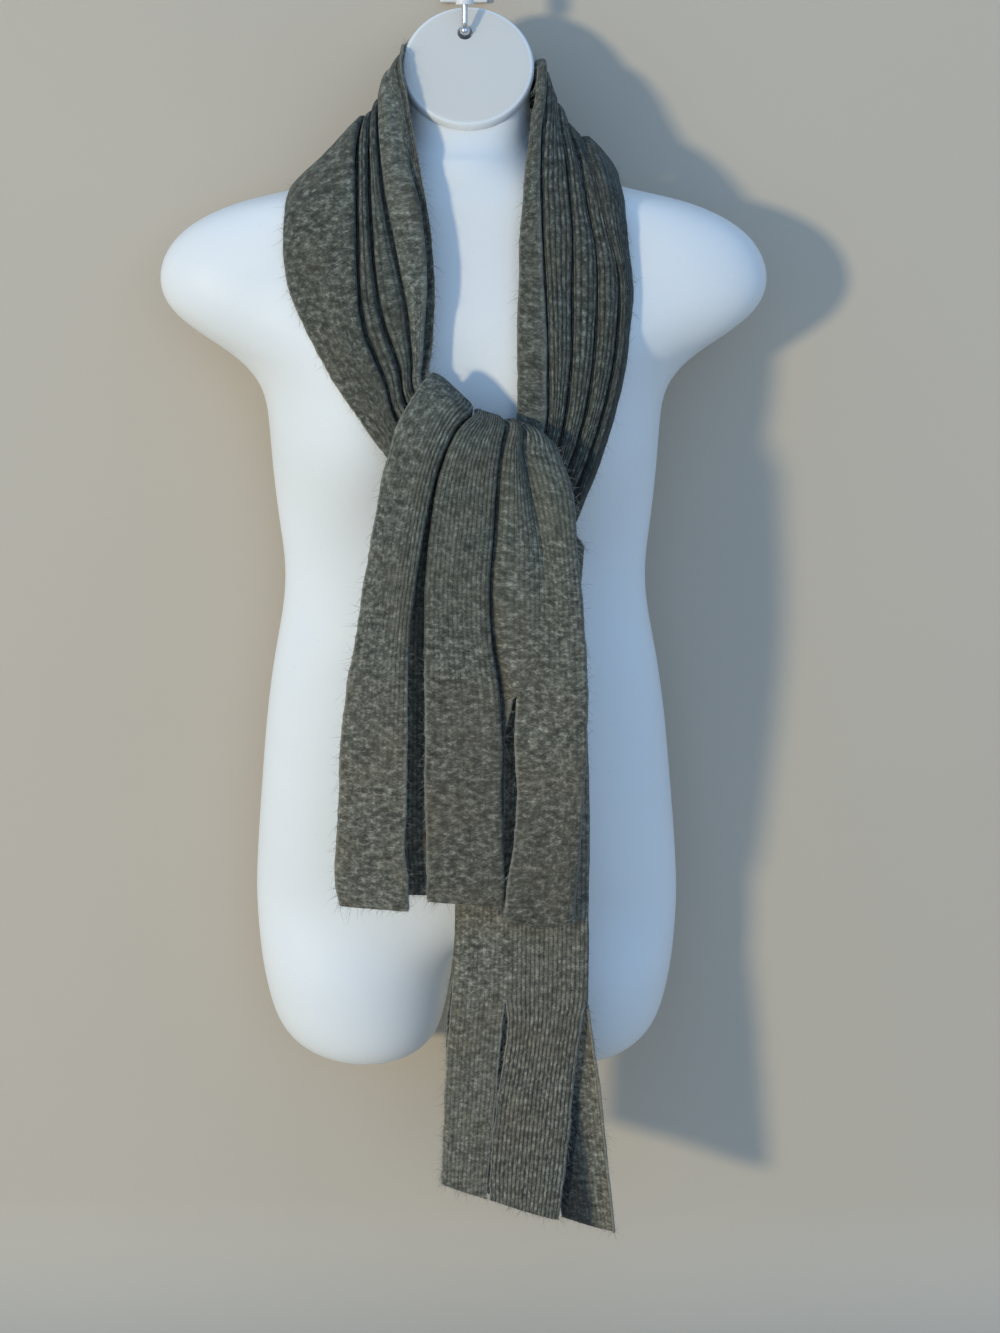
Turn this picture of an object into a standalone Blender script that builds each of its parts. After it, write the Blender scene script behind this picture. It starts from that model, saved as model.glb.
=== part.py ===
"""A rib-knit scarf knotted round a hanging torso form.

The form hangs by a wire hook from a plate on a wall. The scarf goes round
the neck, its left strand crosses over the right one, goes round it and comes
up through the neck opening, and falls in front as the short end. The right
strand goes on down behind it as the long end. Both ends are cut into strips.

+X is the viewer's right, the front faces -Y and +Z is up. The origin is on
the back of the wall plate. Every table and named size is in millimetres.
"""
import math
from collections import namedtuple

import bpy
from mathutils import Vector
from mathutils.bvhtree import BVHTree

MM = 0.001

# The cloth
WALL = 2.0
LAYER = 4.0
PLEAT = 2 * LAYER
TUCK = 13.0
RISE = 6.0
GROOVE = 3.0
SEAM = 0.3
CLEAR = 1.0
EDGE_LEVEL = 0.35
LEVEL_ROOM = 8.0
LOW_ROOM = 12.0
LOW_EDGE = 0.5
LOW_START = 0.8
LOW_LEVEL = 1.0
LOW_LAP = 0.6
START_SHARE = 0.3
START_LEVEL = 0.8
TURN_ROOM = 3.0
LEAST_TUCK = 1.0
FULL_LAP = 0.7
LEAST_SLOPE = 0.4

# The groove that a pleat becomes where it stands straight: its half width at
# the top, at half its height and at its floor, and the floor's level
GROOVE_TOP = 4.5
GROOVE_WAIST = 3.2
GROOVE_FLOOR = 2.2
GROOVE_LEVEL = 0.5

# The form
RING_POINTS = 36
NECK_TILT = 63.5
BUST_X = 76.0
BUST_Z = -322.0
BUST_HEIGHT = 22.0
BUST_SIDE = 72.0
BUST_ABOVE = 120.0
BUST_BELOW = 70.0
BODY_Y = -60.0
CROTCH_POINTS = 5
LEG_TURN = 150.0
CROTCH_Y = -64.0
CROTCH_Z = -757.0
CROTCH_RISE = 24.0
CROTCH_REACH = 42.0

# The hook and its plate
HOOK_X = 2.0
HOLE_Y = -73.0
HOLE_Z = -42.0
HOLE_RADIUS = 5.6
HOLE_DEPTH = 20.0
WIRE_RADIUS = 2.1
WIRE_Y = -79.0
WIRE_TOP = -10.0
WIRE_LEVEL = -40.5
WIRE_BEND = 6.0
WIRE_END_Y = -69.0
BEAD_RADIUS = 3.8
BEAD_Y = -76.0
PLATE_WIDTH = 36.0
PLATE_TOP = 28.0
PLATE_BOTTOM = -16.0
PLATE_DEPTH = 5.0
PLATE_ROUND = 1.2
ARM_WIDTH = 10.0
ARM_HEIGHT = 11.0
SOCKET_RADIUS = 6.5
SOCKET_BOTTOM = -23.0
SOCKET_TOP = 7.0
WIRE_SIDES = 12
BEAD_SIDES = 14
BEAD_RINGS = 9
BEAD_REACH = 0.985

# One ring of the torso: height, middle y, half width, depth in front of and
# behind the middle, the tilt of the ring towards the front in degrees, and
# how full its corners are (1 is an ellipse, less is squarer)
Ring = namedtuple("Ring", "z y half front back tilt full")
TORSO = [
    Ring(-65.0, -85.0, 45.5, 45.5, 45.5, NECK_TILT, 1),
    Ring(-66.5, -82.2, 48.2, 48.2, 48.2, NECK_TILT, 1),
    Ring(-71.0, -78.5, 48.0, 48.5, 46.0, 58, 1),
    Ring(-88.0, -71.0, 46.5, 49.0, 42.0, 46, 1),
    Ring(-106.0, -66.0, 47.5, 49.0, 42.0, 28, 1),
    Ring(-121.0, -63.0, 55.0, 51.0, 42.0, 12, 1),
    Ring(-135.0, -61.0, 74.0, 54.0, 42.0, 4, 1),
    Ring(-147.0, -60.0, 102.0, 56.0, 41.0, 0, 0.95),
    Ring(-155.0, -60.0, 136.0, 57.0, 40.0, 0, 0.86),
    Ring(-162.0, -60.0, 172.0, 59.0, 40.0, 0, 0.78),
    Ring(-178.0, -60.0, 208.0, 60.0, 40.0, 0, 0.72),
    Ring(-198.0, -60.0, 227.0, 62.0, 40.0, 0, 0.70),
    Ring(-220.0, -60.0, 233.0, 64.0, 41.0, 0, 0.68),
    Ring(-241.0, -60.0, 226.0, 66.0, 42.0, 0, 0.70),
    Ring(-260.0, -60.0, 202.0, 67.0, 43.0, 0, 0.76),
    Ring(-278.0, -60.0, 173.0, 68.0, 44.0, 0, 0.86),
    Ring(-300.0, -60.0, 155.0, 69.0, 45.0, 0, 0.94),
    Ring(-325.0, -60.0, 152.0, 69.0, 45.0, 0, 1),
    Ring(-352.0, -60.0, 151.0, 68.0, 45.0, 0, 1),
    Ring(-380.0, -60.0, 149.0, 65.0, 44.0, 0, 1),
    Ring(-410.0, -60.0, 146.0, 61.0, 43.0, 0, 1),
    Ring(-442.0, -60.0, 142.0, 58.0, 43.0, 0, 1),
    Ring(-475.0, -60.0, 145.0, 60.0, 45.0, 0, 1),
    Ring(-510.0, -60.0, 153.0, 64.0, 47.0, 0, 0.95),
    Ring(-560.0, -60.0, 161.0, 68.0, 49.0, 0, 0.95),
    Ring(-610.0, -60.0, 166.0, 69.0, 51.0, 0, 0.95),
    Ring(-660.0, -60.0, 171.0, 67.0, 52.0, 0, 0.95),
    Ring(-698.0, -60.0, 174.0, 64.0, 50.0, 0, 0.95),
    Ring(-726.0, -60.0, 175.0, 60.0, 47.0, 0, 0.95),
]

# One ring of a thigh stump: height, middle x, half width, front and back depth
ThighRing = namedtuple("ThighRing", "z x half front back")
THIGH = [
    ThighRing(-768.0, 91.0, 82.0, 60.0, 48.0),
    ThighRing(-792.0, 91.5, 78.0, 61.0, 49.0),
    ThighRing(-820.0, 91.0, 73.0, 58.0, 46.0),
    ThighRing(-842.0, 89.0, 64.0, 52.0, 41.0),
    ThighRing(-856.0, 86.0, 49.0, 41.0, 32.0),
    ThighRing(-863.0, 84.0, 31.0, 27.0, 21.0),
    ThighRing(-866.0, 83.0, 12.0, 11.0, 9.0),
]

# One section of the wound cloth, from its outer edge to its inner edge: both
# ends, the bow between them, the way its pleats lap (1 outer over inner, -1
# inner over outer), and its four folds as shares of the width
Section = namedtuple("Section", "ox oy oz ix iy iz bow lap f1 f2 f3 f4")
COLLAR = [
    Section(72, -169, -452, 79, -168, -400, 0, 1.0, .30, .50, .68, .86),
    Section(38, -170, -428, 52, -169, -360, 0, 1.0, .31, .51, .69, .86),
    Section(-16, -166, -382, 14, -165, -318, 0, 1.0, .32, .52, .70, .86),
    Section(-54, -152, -341, -21, -152, -287, 1, 1.0, .34, .54, .70, .86),
    Section(-79, -140, -308, -21, -140, -262, 3, 1.0, .40, .58, .73, .86),
    Section(-100, -128, -272, -19, -132, -222, 6, 1.0, .38, .54, .75, .90),
    Section(-118, -120, -235, -22, -126, -180, 8, 1.0, .45, .57, .74, .93),
    Section(-130, -112, -205, -29, -120, -139, 6, 1.0, .51, .61, .74, .93),
    Section(-133, -104, -180, -37, -110, -98, 0, 1.0, .54, .63, .74, .92),
    Section(-132, -88, -163, -46, -90, -66, -9, 1.0, .57, .66, .76, .91),
    Section(-124, -58, -149, -54, -64, -48, -16, 1.0, .58, .67, .77, .90),
    Section(-104, -26, -154, -52, -42, -50, -13, 1.0, .56, .66, .77, .90),
    Section(-68, -14, -168, -36, -30, -58, -4, 1.0, .52, .64, .76, .88),
    Section(0, -12, -174, 0, -26, -66, 0, 0.0, .46, .60, .73, .87),
    Section(66, -14, -166, 36, -30, -62, -4, -1.0, .42, .58, .71, .88),
    Section(98, -28, -146, 52, -42, -58, -9, -1.0, .40, .57, .70, .90),
    Section(113, -58, -134, 59, -66, -60, -9, -1.0, .40, .58, .70, .91),
    Section(121, -90, -154, 56, -92, -84, -3, -1.0, .46, .63, .74, .91),
    Section(125, -106, -184, 49, -112, -117, 2, -1.0, .30, .49, .64, .90),
    Section(126, -114, -221, 44, -124, -154, 5, -1.0, .18, .38, .59, .86),
    Section(122, -124, -262, 41, -130, -204, 6, -1.0, .14, .32, .54, .80),
    Section(112, -140, -314, 40, -140, -260, 4, -1.0, .14, .29, .49, .72),
    Section(98, -150, -352, 40, -150, -305, 1, -1.0, .16, .32, .50, .68),
    Section(82, -154, -392, 38, -154, -350, 0, -1.0, .19, .38, .56, .74),
    Section(76, -155, -413, 38, -155, -385, 0, -1.0, .19, .42, .60, .77),
]
LEFT_SEAM_ROW = 12.0
RIGHT_SEAM_ROW = 14.0
SEAM_SHARE = 0.014

# The hidden turn of the left strand round the right one: lower and upper edge
Turn = namedtuple("Turn", "lx ly lz ux uy uz")
KNOT_TURN = [
    Turn(73.6, -171.0, -453, 80.6, -170.0, -401),
    Turn(82.0, -166.0, -458, 86.0, -165.0, -406),
    Turn(85.0, -157.0, -459, 89.0, -156.0, -408),
    Turn(80.0, -149.0, -453, 85.0, -149.0, -402),
    Turn(64.0, -147.0, -430, 72.0, -148.0, -382),
    Turn(44.0, -146.5, -395, 56.0, -147.0, -354),
    Turn(14.0, -143.0, -348, 34.0, -143.0, -338.8),
]

# One section of the short end: height at its left and right edges, y of its
# front, the left edge, the right fold of the first pleat, both folds of the
# second, the left fold, valley and right edge of the third, the valley's
# depth, and how far the cloth runs under the second pleat
Front = namedtuple("Front", "zl zr y left p1 p2l p2r p3l valley right dip under")
SHORT_END = [
    Front(-334, -338, -142, -6, 7, 10, 18, 19, 26.5, 34, 0, 1),
    Front(-298, -322, -144, -14, 6, 9, 19.5, 21, 28, 35, 0, 1),
    Front(-278, -314, -162, -20, 7, 10, 23, 25, 32, 40, 1, 4),
    Front(-282, -324, -179, -26, 6, 9, 30, 33, 43, 64, 4, 8),
    Front(-306, -342, -190, -42, -6, -3, 27, 30, 43, 73, 6, 10),
    Front(-339, -366, -194, -53, -18, -14, 24, 27, 49, 80, 6, 11),
    Front(-375, -402, -194, -61, -26, -21, 22, 25, 57, 83, 4, 11),
    Front(-425, -438, -193, -70, -34, -26, 19, 22, 60, 87, 2, 10),
    Front(-470, -475, -191, -78, -39, -27, 21, 25, 60, 90, 0, 6),
    Front(-507, -510, -189, -85, -40, -28, 26, 31, 61, 92, 0, 1),
    Front(-550, -550, -187, -91, -41, -28, 28.5, 39, 65, 92, 0, 1),
    Front(-590, -592, -185, -93, -42, -29, 28, 41, 66, 90.5, 0, 1),
    Front(-630, -636, -184, -96, -44, -28, 29.5, 37, 62, 88, 0, 1),
    Front(-658, -670, -183, -98, -42, -28, 30, 33.5, 59, 85.5, 0, 1),
    Front(-682, -694, -182, -95, -42, -28, 28, 31, 56, 83, 0, 1),
]
# Lines across its parts: share of the part's width, and depth behind its front
FIRST_LINE = [(0, 2.5), (0.12, 0.8), (0.4, 0), (0.75, 0), (1, 0)]
SECOND_LINE = [(0, 0), (0.3, -0.6), (0.7, -0.6), (1, 0)]
OPEN_EDGE = [(-1, 1.8), (0, 1.5), (1.5, 1.2), (3, 1), (5, 0.6), (8, 0)]
VALLEY_START = (0.6, 0.4)
VALLEY_RISE = (0.4, 0.2)
RIGHT_LINE = [(0.8, 0.6), (1, 3.0)]
UNDER_RISE = 0.5
UNDER_TURN = 1.5
UNDER_END = 3.5
MOST_UNDER = 0.35
SHORT_HEM_BULGE = 8.0
SHORT_FIRST_CUT = 8.3
SHORT_LAST_CUT = 9.1
RECESS = 9.0
RECESS_TUCK = 11.0
LEFT_TUCK_SHARE = 0.5
RIGHT_TUCK_SHARE = 0.4
TURN_LEVEL = 0.2
EDGE_GAP = 2.6

# One section of the long end: height at its left and right edges, y of its
# front, left edge, cut between the two front strips (both sides), right edge
# of the second strip, both edges of the strip behind on the right, and both
# edges of the one behind on the left
Tail = namedtuple("Tail", "zl zr y left c1 c2 right back_r back_l far_r far_l")
LONG_END = [
    Tail(-386.2, -414.2, -163, 36, 52, 52, 76, 75, 58, 54, 37),
    Tail(-425, -440, -163, 30, 50, 50, 75, 74, 54, 50, 31),
    Tail(-470, -475, -164, 18, 43, 43, 82, 81, 53, 49, 19),
    Tail(-530, -530, -165, 6, 37, 37, 91, 90, 52, 46, 7),
    Tail(-600, -600, -165, -3, 34, 34, 95, 94, 51, 45, -2),
    Tail(-685, -685, -164, -6, 33, 33, 96, 95, 50, 44, -5),
    Tail(-740, -740, -165, -8, 32.5, 32.5, 96, 95, 50, 43, -8),
    Tail(-765, -765, -165, -10, 32, 32, 96, 95.5, 50, 42, -11),
    Tail(-785, -785, -165, -11.5, 31, 32, 92.5, 97.5, 51, 41, -13.5),
    Tail(-815, -815, -165, -14, 29, 30.5, 88.5, 102, 55, 39, -13.5),
    Tail(-850, -850, -165, -16, 24.5, 26.5, 85.5, 107, 61, 37, -14.5),
    Tail(-885, -885, -165, -17.5, 20.5, 22, 83, 110.5, 66, 34, -16),
    Tail(-915, -918, -165, -19, 18.5, 20, 80, 114, 71, 31, -17),
    Tail(-929, -962, -165, -19, 16, 20, 75, 120, 78, 29, -17),
]
LONG_LEFT_CUT = 6.4
LONG_MIDDLE_CUT = 7.15
LONG_RIGHT_CUT = 7.5
BACK_STEP = 9.0
# Lines across its strips, and how far their turned edges stand out
FAR_SHARES = [0, 0.35, 0.7, 0.95]
ONE_LINE = [(0.12, 0.6), (0.5, 0), (1, 0)]
TWO_LINE = [(0, 0), (0.35, 0), (0.7, 0), (0.93, 0.6)]
BEHIND_SHARES = [0.06, 0.4, 0.75, 1]
EDGE_IN = 2.5
FAR_OUT = 5.0
BEHIND_IN = 4.0
EDGE_STEP = 1.0
SIDE_LIMITS = (-0.2, 1.4)

# Samples along each piece
ROWS_STRAND = 17
ROWS_NECK = 15
ROWS_TURN = 9
TURN_POINTS = 6
ROWS_SHORT = 25
ROWS_LONG = 24


def spline(rows, at):
    """Return the table row at a fractional index, on a Catmull-Rom curve."""
    last = len(rows) - 1
    low = min(int(at), last - 1)
    t = at - low
    picks = [rows[max(low - 1, 0)], rows[low], rows[low + 1], rows[min(low + 2, last)]]
    values = []
    for a, b, c, d in zip(*picks):
        bend = 2 * a - 5 * b + 4 * c - d
        twist = 3 * b - a - 3 * c + d
        values.append(0.5 * (2 * b + (c - a) * t + bend * t * t + twist * t ** 3))
    return type(rows[0])(*values)


def steps(start, end, count):
    """Return evenly spaced values from start to end."""
    return [start + (end - start) * i / (count - 1) for i in range(count)]


def mixed(low, high, share):
    return low + (high - low) * share


def smooth(value, low, high):
    """Rise softly from 0 at low to 1 at high."""
    t = max(0.0, min(1.0, (value - low) / (high - low)))
    return t * t * (3 - 2 * t)


def add_object(name, mesh, material):
    """Put a mesh in the scene with its material and smooth shading."""
    thing = bpy.data.objects.new(name, mesh)
    bpy.context.collection.objects.link(thing)
    mesh.materials.append(material)
    mesh.shade_smooth()
    return thing


def make_material(name, colour, roughness, metallic=0.0):
    material = bpy.data.materials.new(name)
    material.use_nodes = True
    shader = material.node_tree.nodes["Principled BSDF"]
    shader.inputs["Base Color"].default_value = (*colour, 1.0)
    shader.inputs["Roughness"].default_value = roughness
    shader.inputs["Metallic"].default_value = metallic
    return material


def as_guide(thing):
    """Mark an object as a cutter or a part of a union, not a piece."""
    thing.hide_render = True
    thing.display_type = "WIRE"


def combine(thing, other, operation):
    """Join or cut one object with another by an exact Boolean."""
    modifier = thing.modifiers.new(operation.lower(), "BOOLEAN")
    modifier.operation = operation
    modifier.solver = "EXACT"
    modifier.object = other
    as_guide(other)


def loft_mesh(name, rings):
    """Skin closed rings of points, given from top to bottom, with end caps."""
    points = [tuple(p * MM for p in point) for ring in rings for point in ring]
    size = len(rings[0])
    faces = [tuple(range(size))]
    for row in range(len(rings) - 1):
        for i in range(size):
            j = (i + 1) % size
            top = row * size
            faces.append((top + j, top + i, top + size + i, top + size + j))
    start = (len(rings) - 1) * size
    faces.append(tuple(range(start + size - 1, start - 1, -1)))
    mesh = bpy.data.meshes.new(name)
    mesh.from_pydata(points, [], faces)
    mesh.validate()
    return mesh


def rounded(value, full):
    """Return a sine or cosine bent towards a squarer ring."""
    return math.copysign(abs(value) ** full, value)


def bust(x, z):
    """Return how far the bust stands out of the chest at a point."""
    reach = BUST_ABOVE if z > BUST_Z else BUST_BELOW
    away = ((abs(x) - BUST_X) / BUST_SIDE) ** 2 + ((z - BUST_Z) / reach) ** 2
    return BUST_HEIGHT * max(0.0, 1 - away) ** 1.5


def torso_ring(ring):
    """Return the points of one torso ring, round and then tilted forward."""
    tilt = math.radians(ring.tilt)
    points = []
    for i in range(RING_POINTS):
        angle = 2 * math.pi * i / RING_POINTS
        x = ring.half * rounded(math.cos(angle), ring.full)
        side = rounded(math.sin(angle), ring.full)
        depth = ring.back * side if side > 0 else ring.front * side
        if side < 0:
            depth -= bust(x, ring.z) * min(1.0, -3 * side)
        points.append((x, ring.y + depth * math.cos(tilt), ring.z + depth * math.sin(tilt)))
    return points


def leg_ring(ring, side):
    """Return one ring of a thigh stump, from front middle round the outside.

    The first points follow the hip's half ring and the last ones the crotch.
    """
    outer = RING_POINTS // 2 + 1
    turns = steps(-LEG_TURN, LEG_TURN, outer)
    turns += steps(LEG_TURN, 360 - LEG_TURN, CROTCH_POINTS + 2)[1:-1]
    placed = []
    for degrees in turns:
        angle = math.radians(degrees)
        turn = math.sin(angle)
        depth = turn * (ring.back if turn > 0 else ring.front)
        placed.append((side * (ring.x + ring.half * math.cos(angle)), BODY_Y + depth, ring.z))
    return placed


def form_mesh():
    """Skin the torso, the crotch and both thigh stumps as one closed body."""
    points = []
    faces = []

    def add(ring):
        points.extend(tuple(p * MM for p in point) for point in ring)
        return list(range(len(points) - len(ring), len(points)))

    def skin(upper, lower, flip=False):
        for i in range(len(upper)):
            j = (i + 1) % len(upper)
            face = (upper[j], upper[i], lower[i], lower[j])
            faces.append(face[::-1] if flip else face)

    rings = [add(torso_ring(ring)) for ring in TORSO]
    faces.append(tuple(rings[0]))
    for upper, lower in zip(rings, rings[1:]):
        skin(upper, lower)
    hip = rings[-1]
    quarter = RING_POINTS // 4
    arch = []
    for degrees in steps(0, 180, CROTCH_POINTS + 2)[1:-1]:
        angle = math.radians(degrees)
        arch.append((0.0, CROTCH_Y - CROTCH_REACH * math.cos(angle),
                     CROTCH_Z + CROTCH_RISE * (1 - math.sin(angle))))
    crotch = add(arch[::-1])
    for side in (1, -1):
        half = [hip[(side * i) % RING_POINTS] for i in range(-quarter, quarter + 1)]
        if side < 0:
            half = [hip[(2 * quarter - i) % RING_POINTS] for i in range(-quarter, quarter + 1)]
        upper = half + crotch
        for ring in THIGH:
            lower = add(leg_ring(ring, side))
            skin(upper, lower, flip=side < 0)
            upper = lower
        end = tuple(reversed(upper))
        faces.append(end[::-1] if side < 0 else end)
    mesh = bpy.data.meshes.new("form")
    mesh.from_pydata(points, [], faces)
    mesh.validate()
    return mesh


def tube_mesh(name, start, end, radius, sides=24):
    """Make a closed straight tube between two points."""
    axis = (Vector(end) - Vector(start)).normalized()
    across = axis.cross(Vector((1, 0, 0)))
    if across.length < 0.1:
        across = axis.cross(Vector((0, 1, 0)))
    across.normalize()
    other = axis.cross(across)
    rings = []
    for centre in (Vector(end), Vector(start)):
        ring = []
        for i in range(sides):
            angle = 2 * math.pi * i / sides
            ring.append(centre + radius * (math.cos(angle) * across + math.sin(angle) * other))
        rings.append(ring)
    return loft_mesh(name, rings)


def build_form(plastic):
    """Make the torso form with its thigh stumps and the hook's hole."""
    form = add_object("form", form_mesh(), plastic)
    tilt = math.radians(NECK_TILT)
    face_out = Vector((0, -math.sin(tilt), math.cos(tilt)))
    mouth = Vector((HOOK_X, HOLE_Y, HOLE_Z))
    hole = tube_mesh("hook_hole", mouth - HOLE_DEPTH * face_out, mouth + HOLE_DEPTH * face_out,
                     HOLE_RADIUS)
    combine(form, add_object("hook_hole", hole, plastic), "DIFFERENCE")
    return form


def build_plate(plastic):
    """Make the wall plate with its arm and the socket that holds the wire."""
    half = PLATE_WIDTH / 2
    outline = [(-half, PLATE_TOP), (half, PLATE_TOP), (half, PLATE_BOTTOM), (-half, PLATE_BOTTOM)]
    rings = []
    for y in (-PLATE_DEPTH, 0.0):
        rings.append([(x, y, z) for x, z in outline])
    plate = add_object("wall_plate", loft_mesh("wall_plate", rings), plastic)
    bevel = plate.modifiers.new("round", "BEVEL")
    bevel.width = PLATE_ROUND * MM
    bevel.segments = 2
    ring = [(-0.5, -0.5), (0.5, -0.5), (0.5, 0.5), (-0.5, 0.5)]
    rings = []
    for y in (WIRE_Y, -PLATE_DEPTH / 2):
        rings.append([(HOOK_X + x * ARM_WIDTH, y, -z * ARM_HEIGHT) for x, z in ring])
    combine(plate, add_object("arm", loft_mesh("arm", rings), plastic), "UNION")
    socket = tube_mesh("socket", (HOOK_X, WIRE_Y, SOCKET_BOTTOM), (HOOK_X, WIRE_Y, SOCKET_TOP),
                       SOCKET_RADIUS)
    combine(plate, add_object("socket", socket, plastic), "UNION")
    below = SOCKET_BOTTOM - SOCKET_RADIUS
    bore = tube_mesh("bore", (HOOK_X, WIRE_Y, below), (HOOK_X, WIRE_Y, WIRE_TOP + SEAM),
                     WIRE_RADIUS + SEAM)
    combine(plate, add_object("bore", bore, plastic), "DIFFERENCE")
    return plate


def build_wire(steel):
    """Make the hook: down from the socket and back into the form's hole."""
    centre_y = WIRE_Y + WIRE_BEND
    centre_z = WIRE_LEVEL + WIRE_BEND
    path = [(HOOK_X, WIRE_Y, z) for z in (WIRE_TOP, mixed(WIRE_TOP, centre_z, 0.5))]
    for angle in steps(math.pi, 1.5 * math.pi, 7):
        path.append((HOOK_X, centre_y + WIRE_BEND * math.cos(angle),
                     centre_z + WIRE_BEND * math.sin(angle)))
    path.append((HOOK_X, WIRE_END_Y, WIRE_LEVEL))
    rings = []
    for i, point in enumerate(path):
        ahead = Vector(path[min(i + 1, len(path) - 1)]) - Vector(path[max(i - 1, 0)])
        ahead.normalize()
        up = ahead.cross(Vector((1, 0, 0)))
        ring = []
        for k in range(WIRE_SIDES):
            angle = -2 * math.pi * k / WIRE_SIDES
            ring.append(Vector(point) + WIRE_RADIUS * (math.cos(angle) * Vector((1, 0, 0))
                                                       + math.sin(angle) * up))
        rings.append(ring)
    wire = add_object("hook_wire", loft_mesh("hook_wire", rings), steel)
    bead_rings = []
    for level in steps(BEAD_REACH, -BEAD_REACH, BEAD_RINGS):
        radius = BEAD_RADIUS * math.cos(level * math.pi / 2)
        height = WIRE_LEVEL + BEAD_RADIUS * math.sin(level * math.pi / 2)
        ring = []
        for k in range(BEAD_SIDES):
            angle = 2 * math.pi * k / BEAD_SIDES
            ring.append((HOOK_X + radius * math.cos(angle), BEAD_Y + radius * math.sin(angle),
                         height))
        bead_rings.append(ring)
    combine(wire, add_object("bead", loft_mesh("bead", bead_rings), steel), "UNION")
    return wire


def fold_points(lap, tuck):
    """Return one pleat's turn as (across, out), from the outer to the inner side.

    The upper panel ends at 0, turns under it, runs back by the tuck, and the
    next panel starts there, comes out and rises. Near lap 0 it is a groove.
    """
    tuck = max(LEAST_TUCK, tuck * abs(lap))
    over = [(0, PLEAT), (0, PLEAT - LAYER), (-tuck, PLEAT - LAYER), (-tuck, 0), (GROOVE, 0),
            (RISE, PLEAT)]
    side = [(GROOVE_FLOOR, GROOVE_LEVEL), (GROOVE_WAIST, PLEAT / 2), (GROOVE_TOP, PLEAT)]
    groove = [(-x, v) for x, v in reversed(side)] + side
    if lap < 0:
        over = [(-x, v) for x, v in reversed(over)]
    share = smooth(abs(lap), 0, FULL_LAP)
    return [(mixed(g[0], o[0], share), mixed(g[1], o[1], share)) for g, o in zip(groove, over)]


def pleated_profile(section, width):
    """Return the section's line as (across, out), from outer to inner edge.

    A narrow last strip that lies under its neighbour stays low.
    """
    folds = [share * width for share in (section.f1, section.f2, section.f3, section.f4)]
    folds[0] = max(folds[0], LEVEL_ROOM)
    folds[-1] = min(folds[-1], width - LEVEL_ROOM)
    room = [1 - smooth(value, LEVEL_ROOM, LOW_ROOM) for value in (folds[0], width - folds[-1])]
    low_first = smooth(-section.lap, 0, LOW_LAP) * room[0]
    low_last = smooth(section.lap, 0, LOW_LAP) * room[1]
    ends = [0.0] + folds + [width]
    edge = EDGE_LEVEL * PLEAT
    line = [(0.0, mixed(edge, LOW_EDGE, low_first)),
            (min(LEVEL_ROOM, START_SHARE * folds[0]),
             mixed(START_LEVEL * PLEAT, LOW_START, low_first))]
    for i, fold in enumerate(folds):
        upper = fold - ends[i] if section.lap > 0 else ends[i + 2] - fold
        turn = fold_points(section.lap, max(LEAST_TUCK, min(TUCK, upper - RISE - TURN_ROOM)))
        if i == 0:
            turn[0] = (mixed(turn[0][0], -GROOVE_TOP, low_first),
                       mixed(turn[0][1], LOW_LEVEL, low_first))
        if i == len(folds) - 1:
            turn[-1] = (mixed(turn[-1][0], GROOVE_TOP, low_last),
                        mixed(turn[-1][1], LOW_LEVEL, low_last))
        before = line[-1]
        level = mixed(before[1], PLEAT, START_LEVEL)
        if i == 0:
            level = mixed(level, LOW_LEVEL, low_first)
        line.append((mixed(before[0], fold + turn[0][0], 0.5), level))
        line += [(fold + x, v) for x, v in turn]
    before = line[-1]
    line.append((mixed(before[0], width, 0.5), before[1]))
    line.append((width, min(before[1], edge)))
    return line


def collar_point(at, share):
    """Return the middle of the collar's base at a row and share of its width."""
    section = spline(COLLAR, at)
    outer = Vector((section.ox, section.oy, section.oz))
    inner = Vector((section.ix, section.iy, section.iz))
    return outer.lerp(inner, share)


def collar_row(at):
    """Return one row of points across the wound cloth."""
    section = spline(COLLAR, at)
    outer = collar_point(at, 0)
    inner = collar_point(at, 1)
    last = len(COLLAR) - 1
    ahead = collar_point(min(at + 0.2, last), 0.5) - collar_point(max(at - 0.2, 0), 0.5)
    across = inner - outer
    width = across.length
    across.normalize()
    out = across.cross(ahead).normalized()
    points = []
    for x, v in pleated_profile(section, width):
        share = x / width
        bow = 4 * section.bow * share * (1 - share)
        points.append(outer + x * across + (bow + v) * out)
    return points, out


def off_form(rows, outs, shape):
    """Move rows out, each side by its own need, until the cloth clears the form."""
    need = WALL / 2 + CLEAR
    lifts = []
    for i, (row, out) in enumerate(zip(rows, outs)):
        sides = [0.0, 0.0]
        for k, point in enumerate(row):
            share = k / (len(row) - 1)
            after = rows[min(i + 1, len(rows) - 1)]
            beside = min(k + 1, len(row) - 1)
            for other in (point, rows[max(i - 1, 0)][k], after[k], row[beside], after[beside]):
                probe = point.lerp(other, 0.5)
                spot, normal, _, _ = shape.find_nearest(probe * MM)
                away = (probe - spot / MM).dot(normal)
                lift = (need - away) / max(LEAST_SLOPE, normal.dot(out))
                if lift > 0:
                    sides[0] = max(sides[0], lift * min(1.0, 2 - 2 * share))
                    sides[1] = max(sides[1], lift * min(1.0, 2 * share))
        lifts.append(sides)
    padded = [lifts[0]] + lifts + [lifts[-1]]
    widest = [[max(side) for side in zip(*padded[i:i + 3])] for i in range(len(lifts))]
    padded = [widest[0]] + widest + [widest[-1]]
    moved = []
    for i, (row, out) in enumerate(zip(rows, outs)):
        low, high = [0.25 * a + 0.5 * b + 0.25 * c for a, b, c in zip(*padded[i:i + 3])]
        count = len(row) - 1
        moved.append([p + mixed(low, high, k / count) * out for k, p in enumerate(row)])
    return moved


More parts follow.
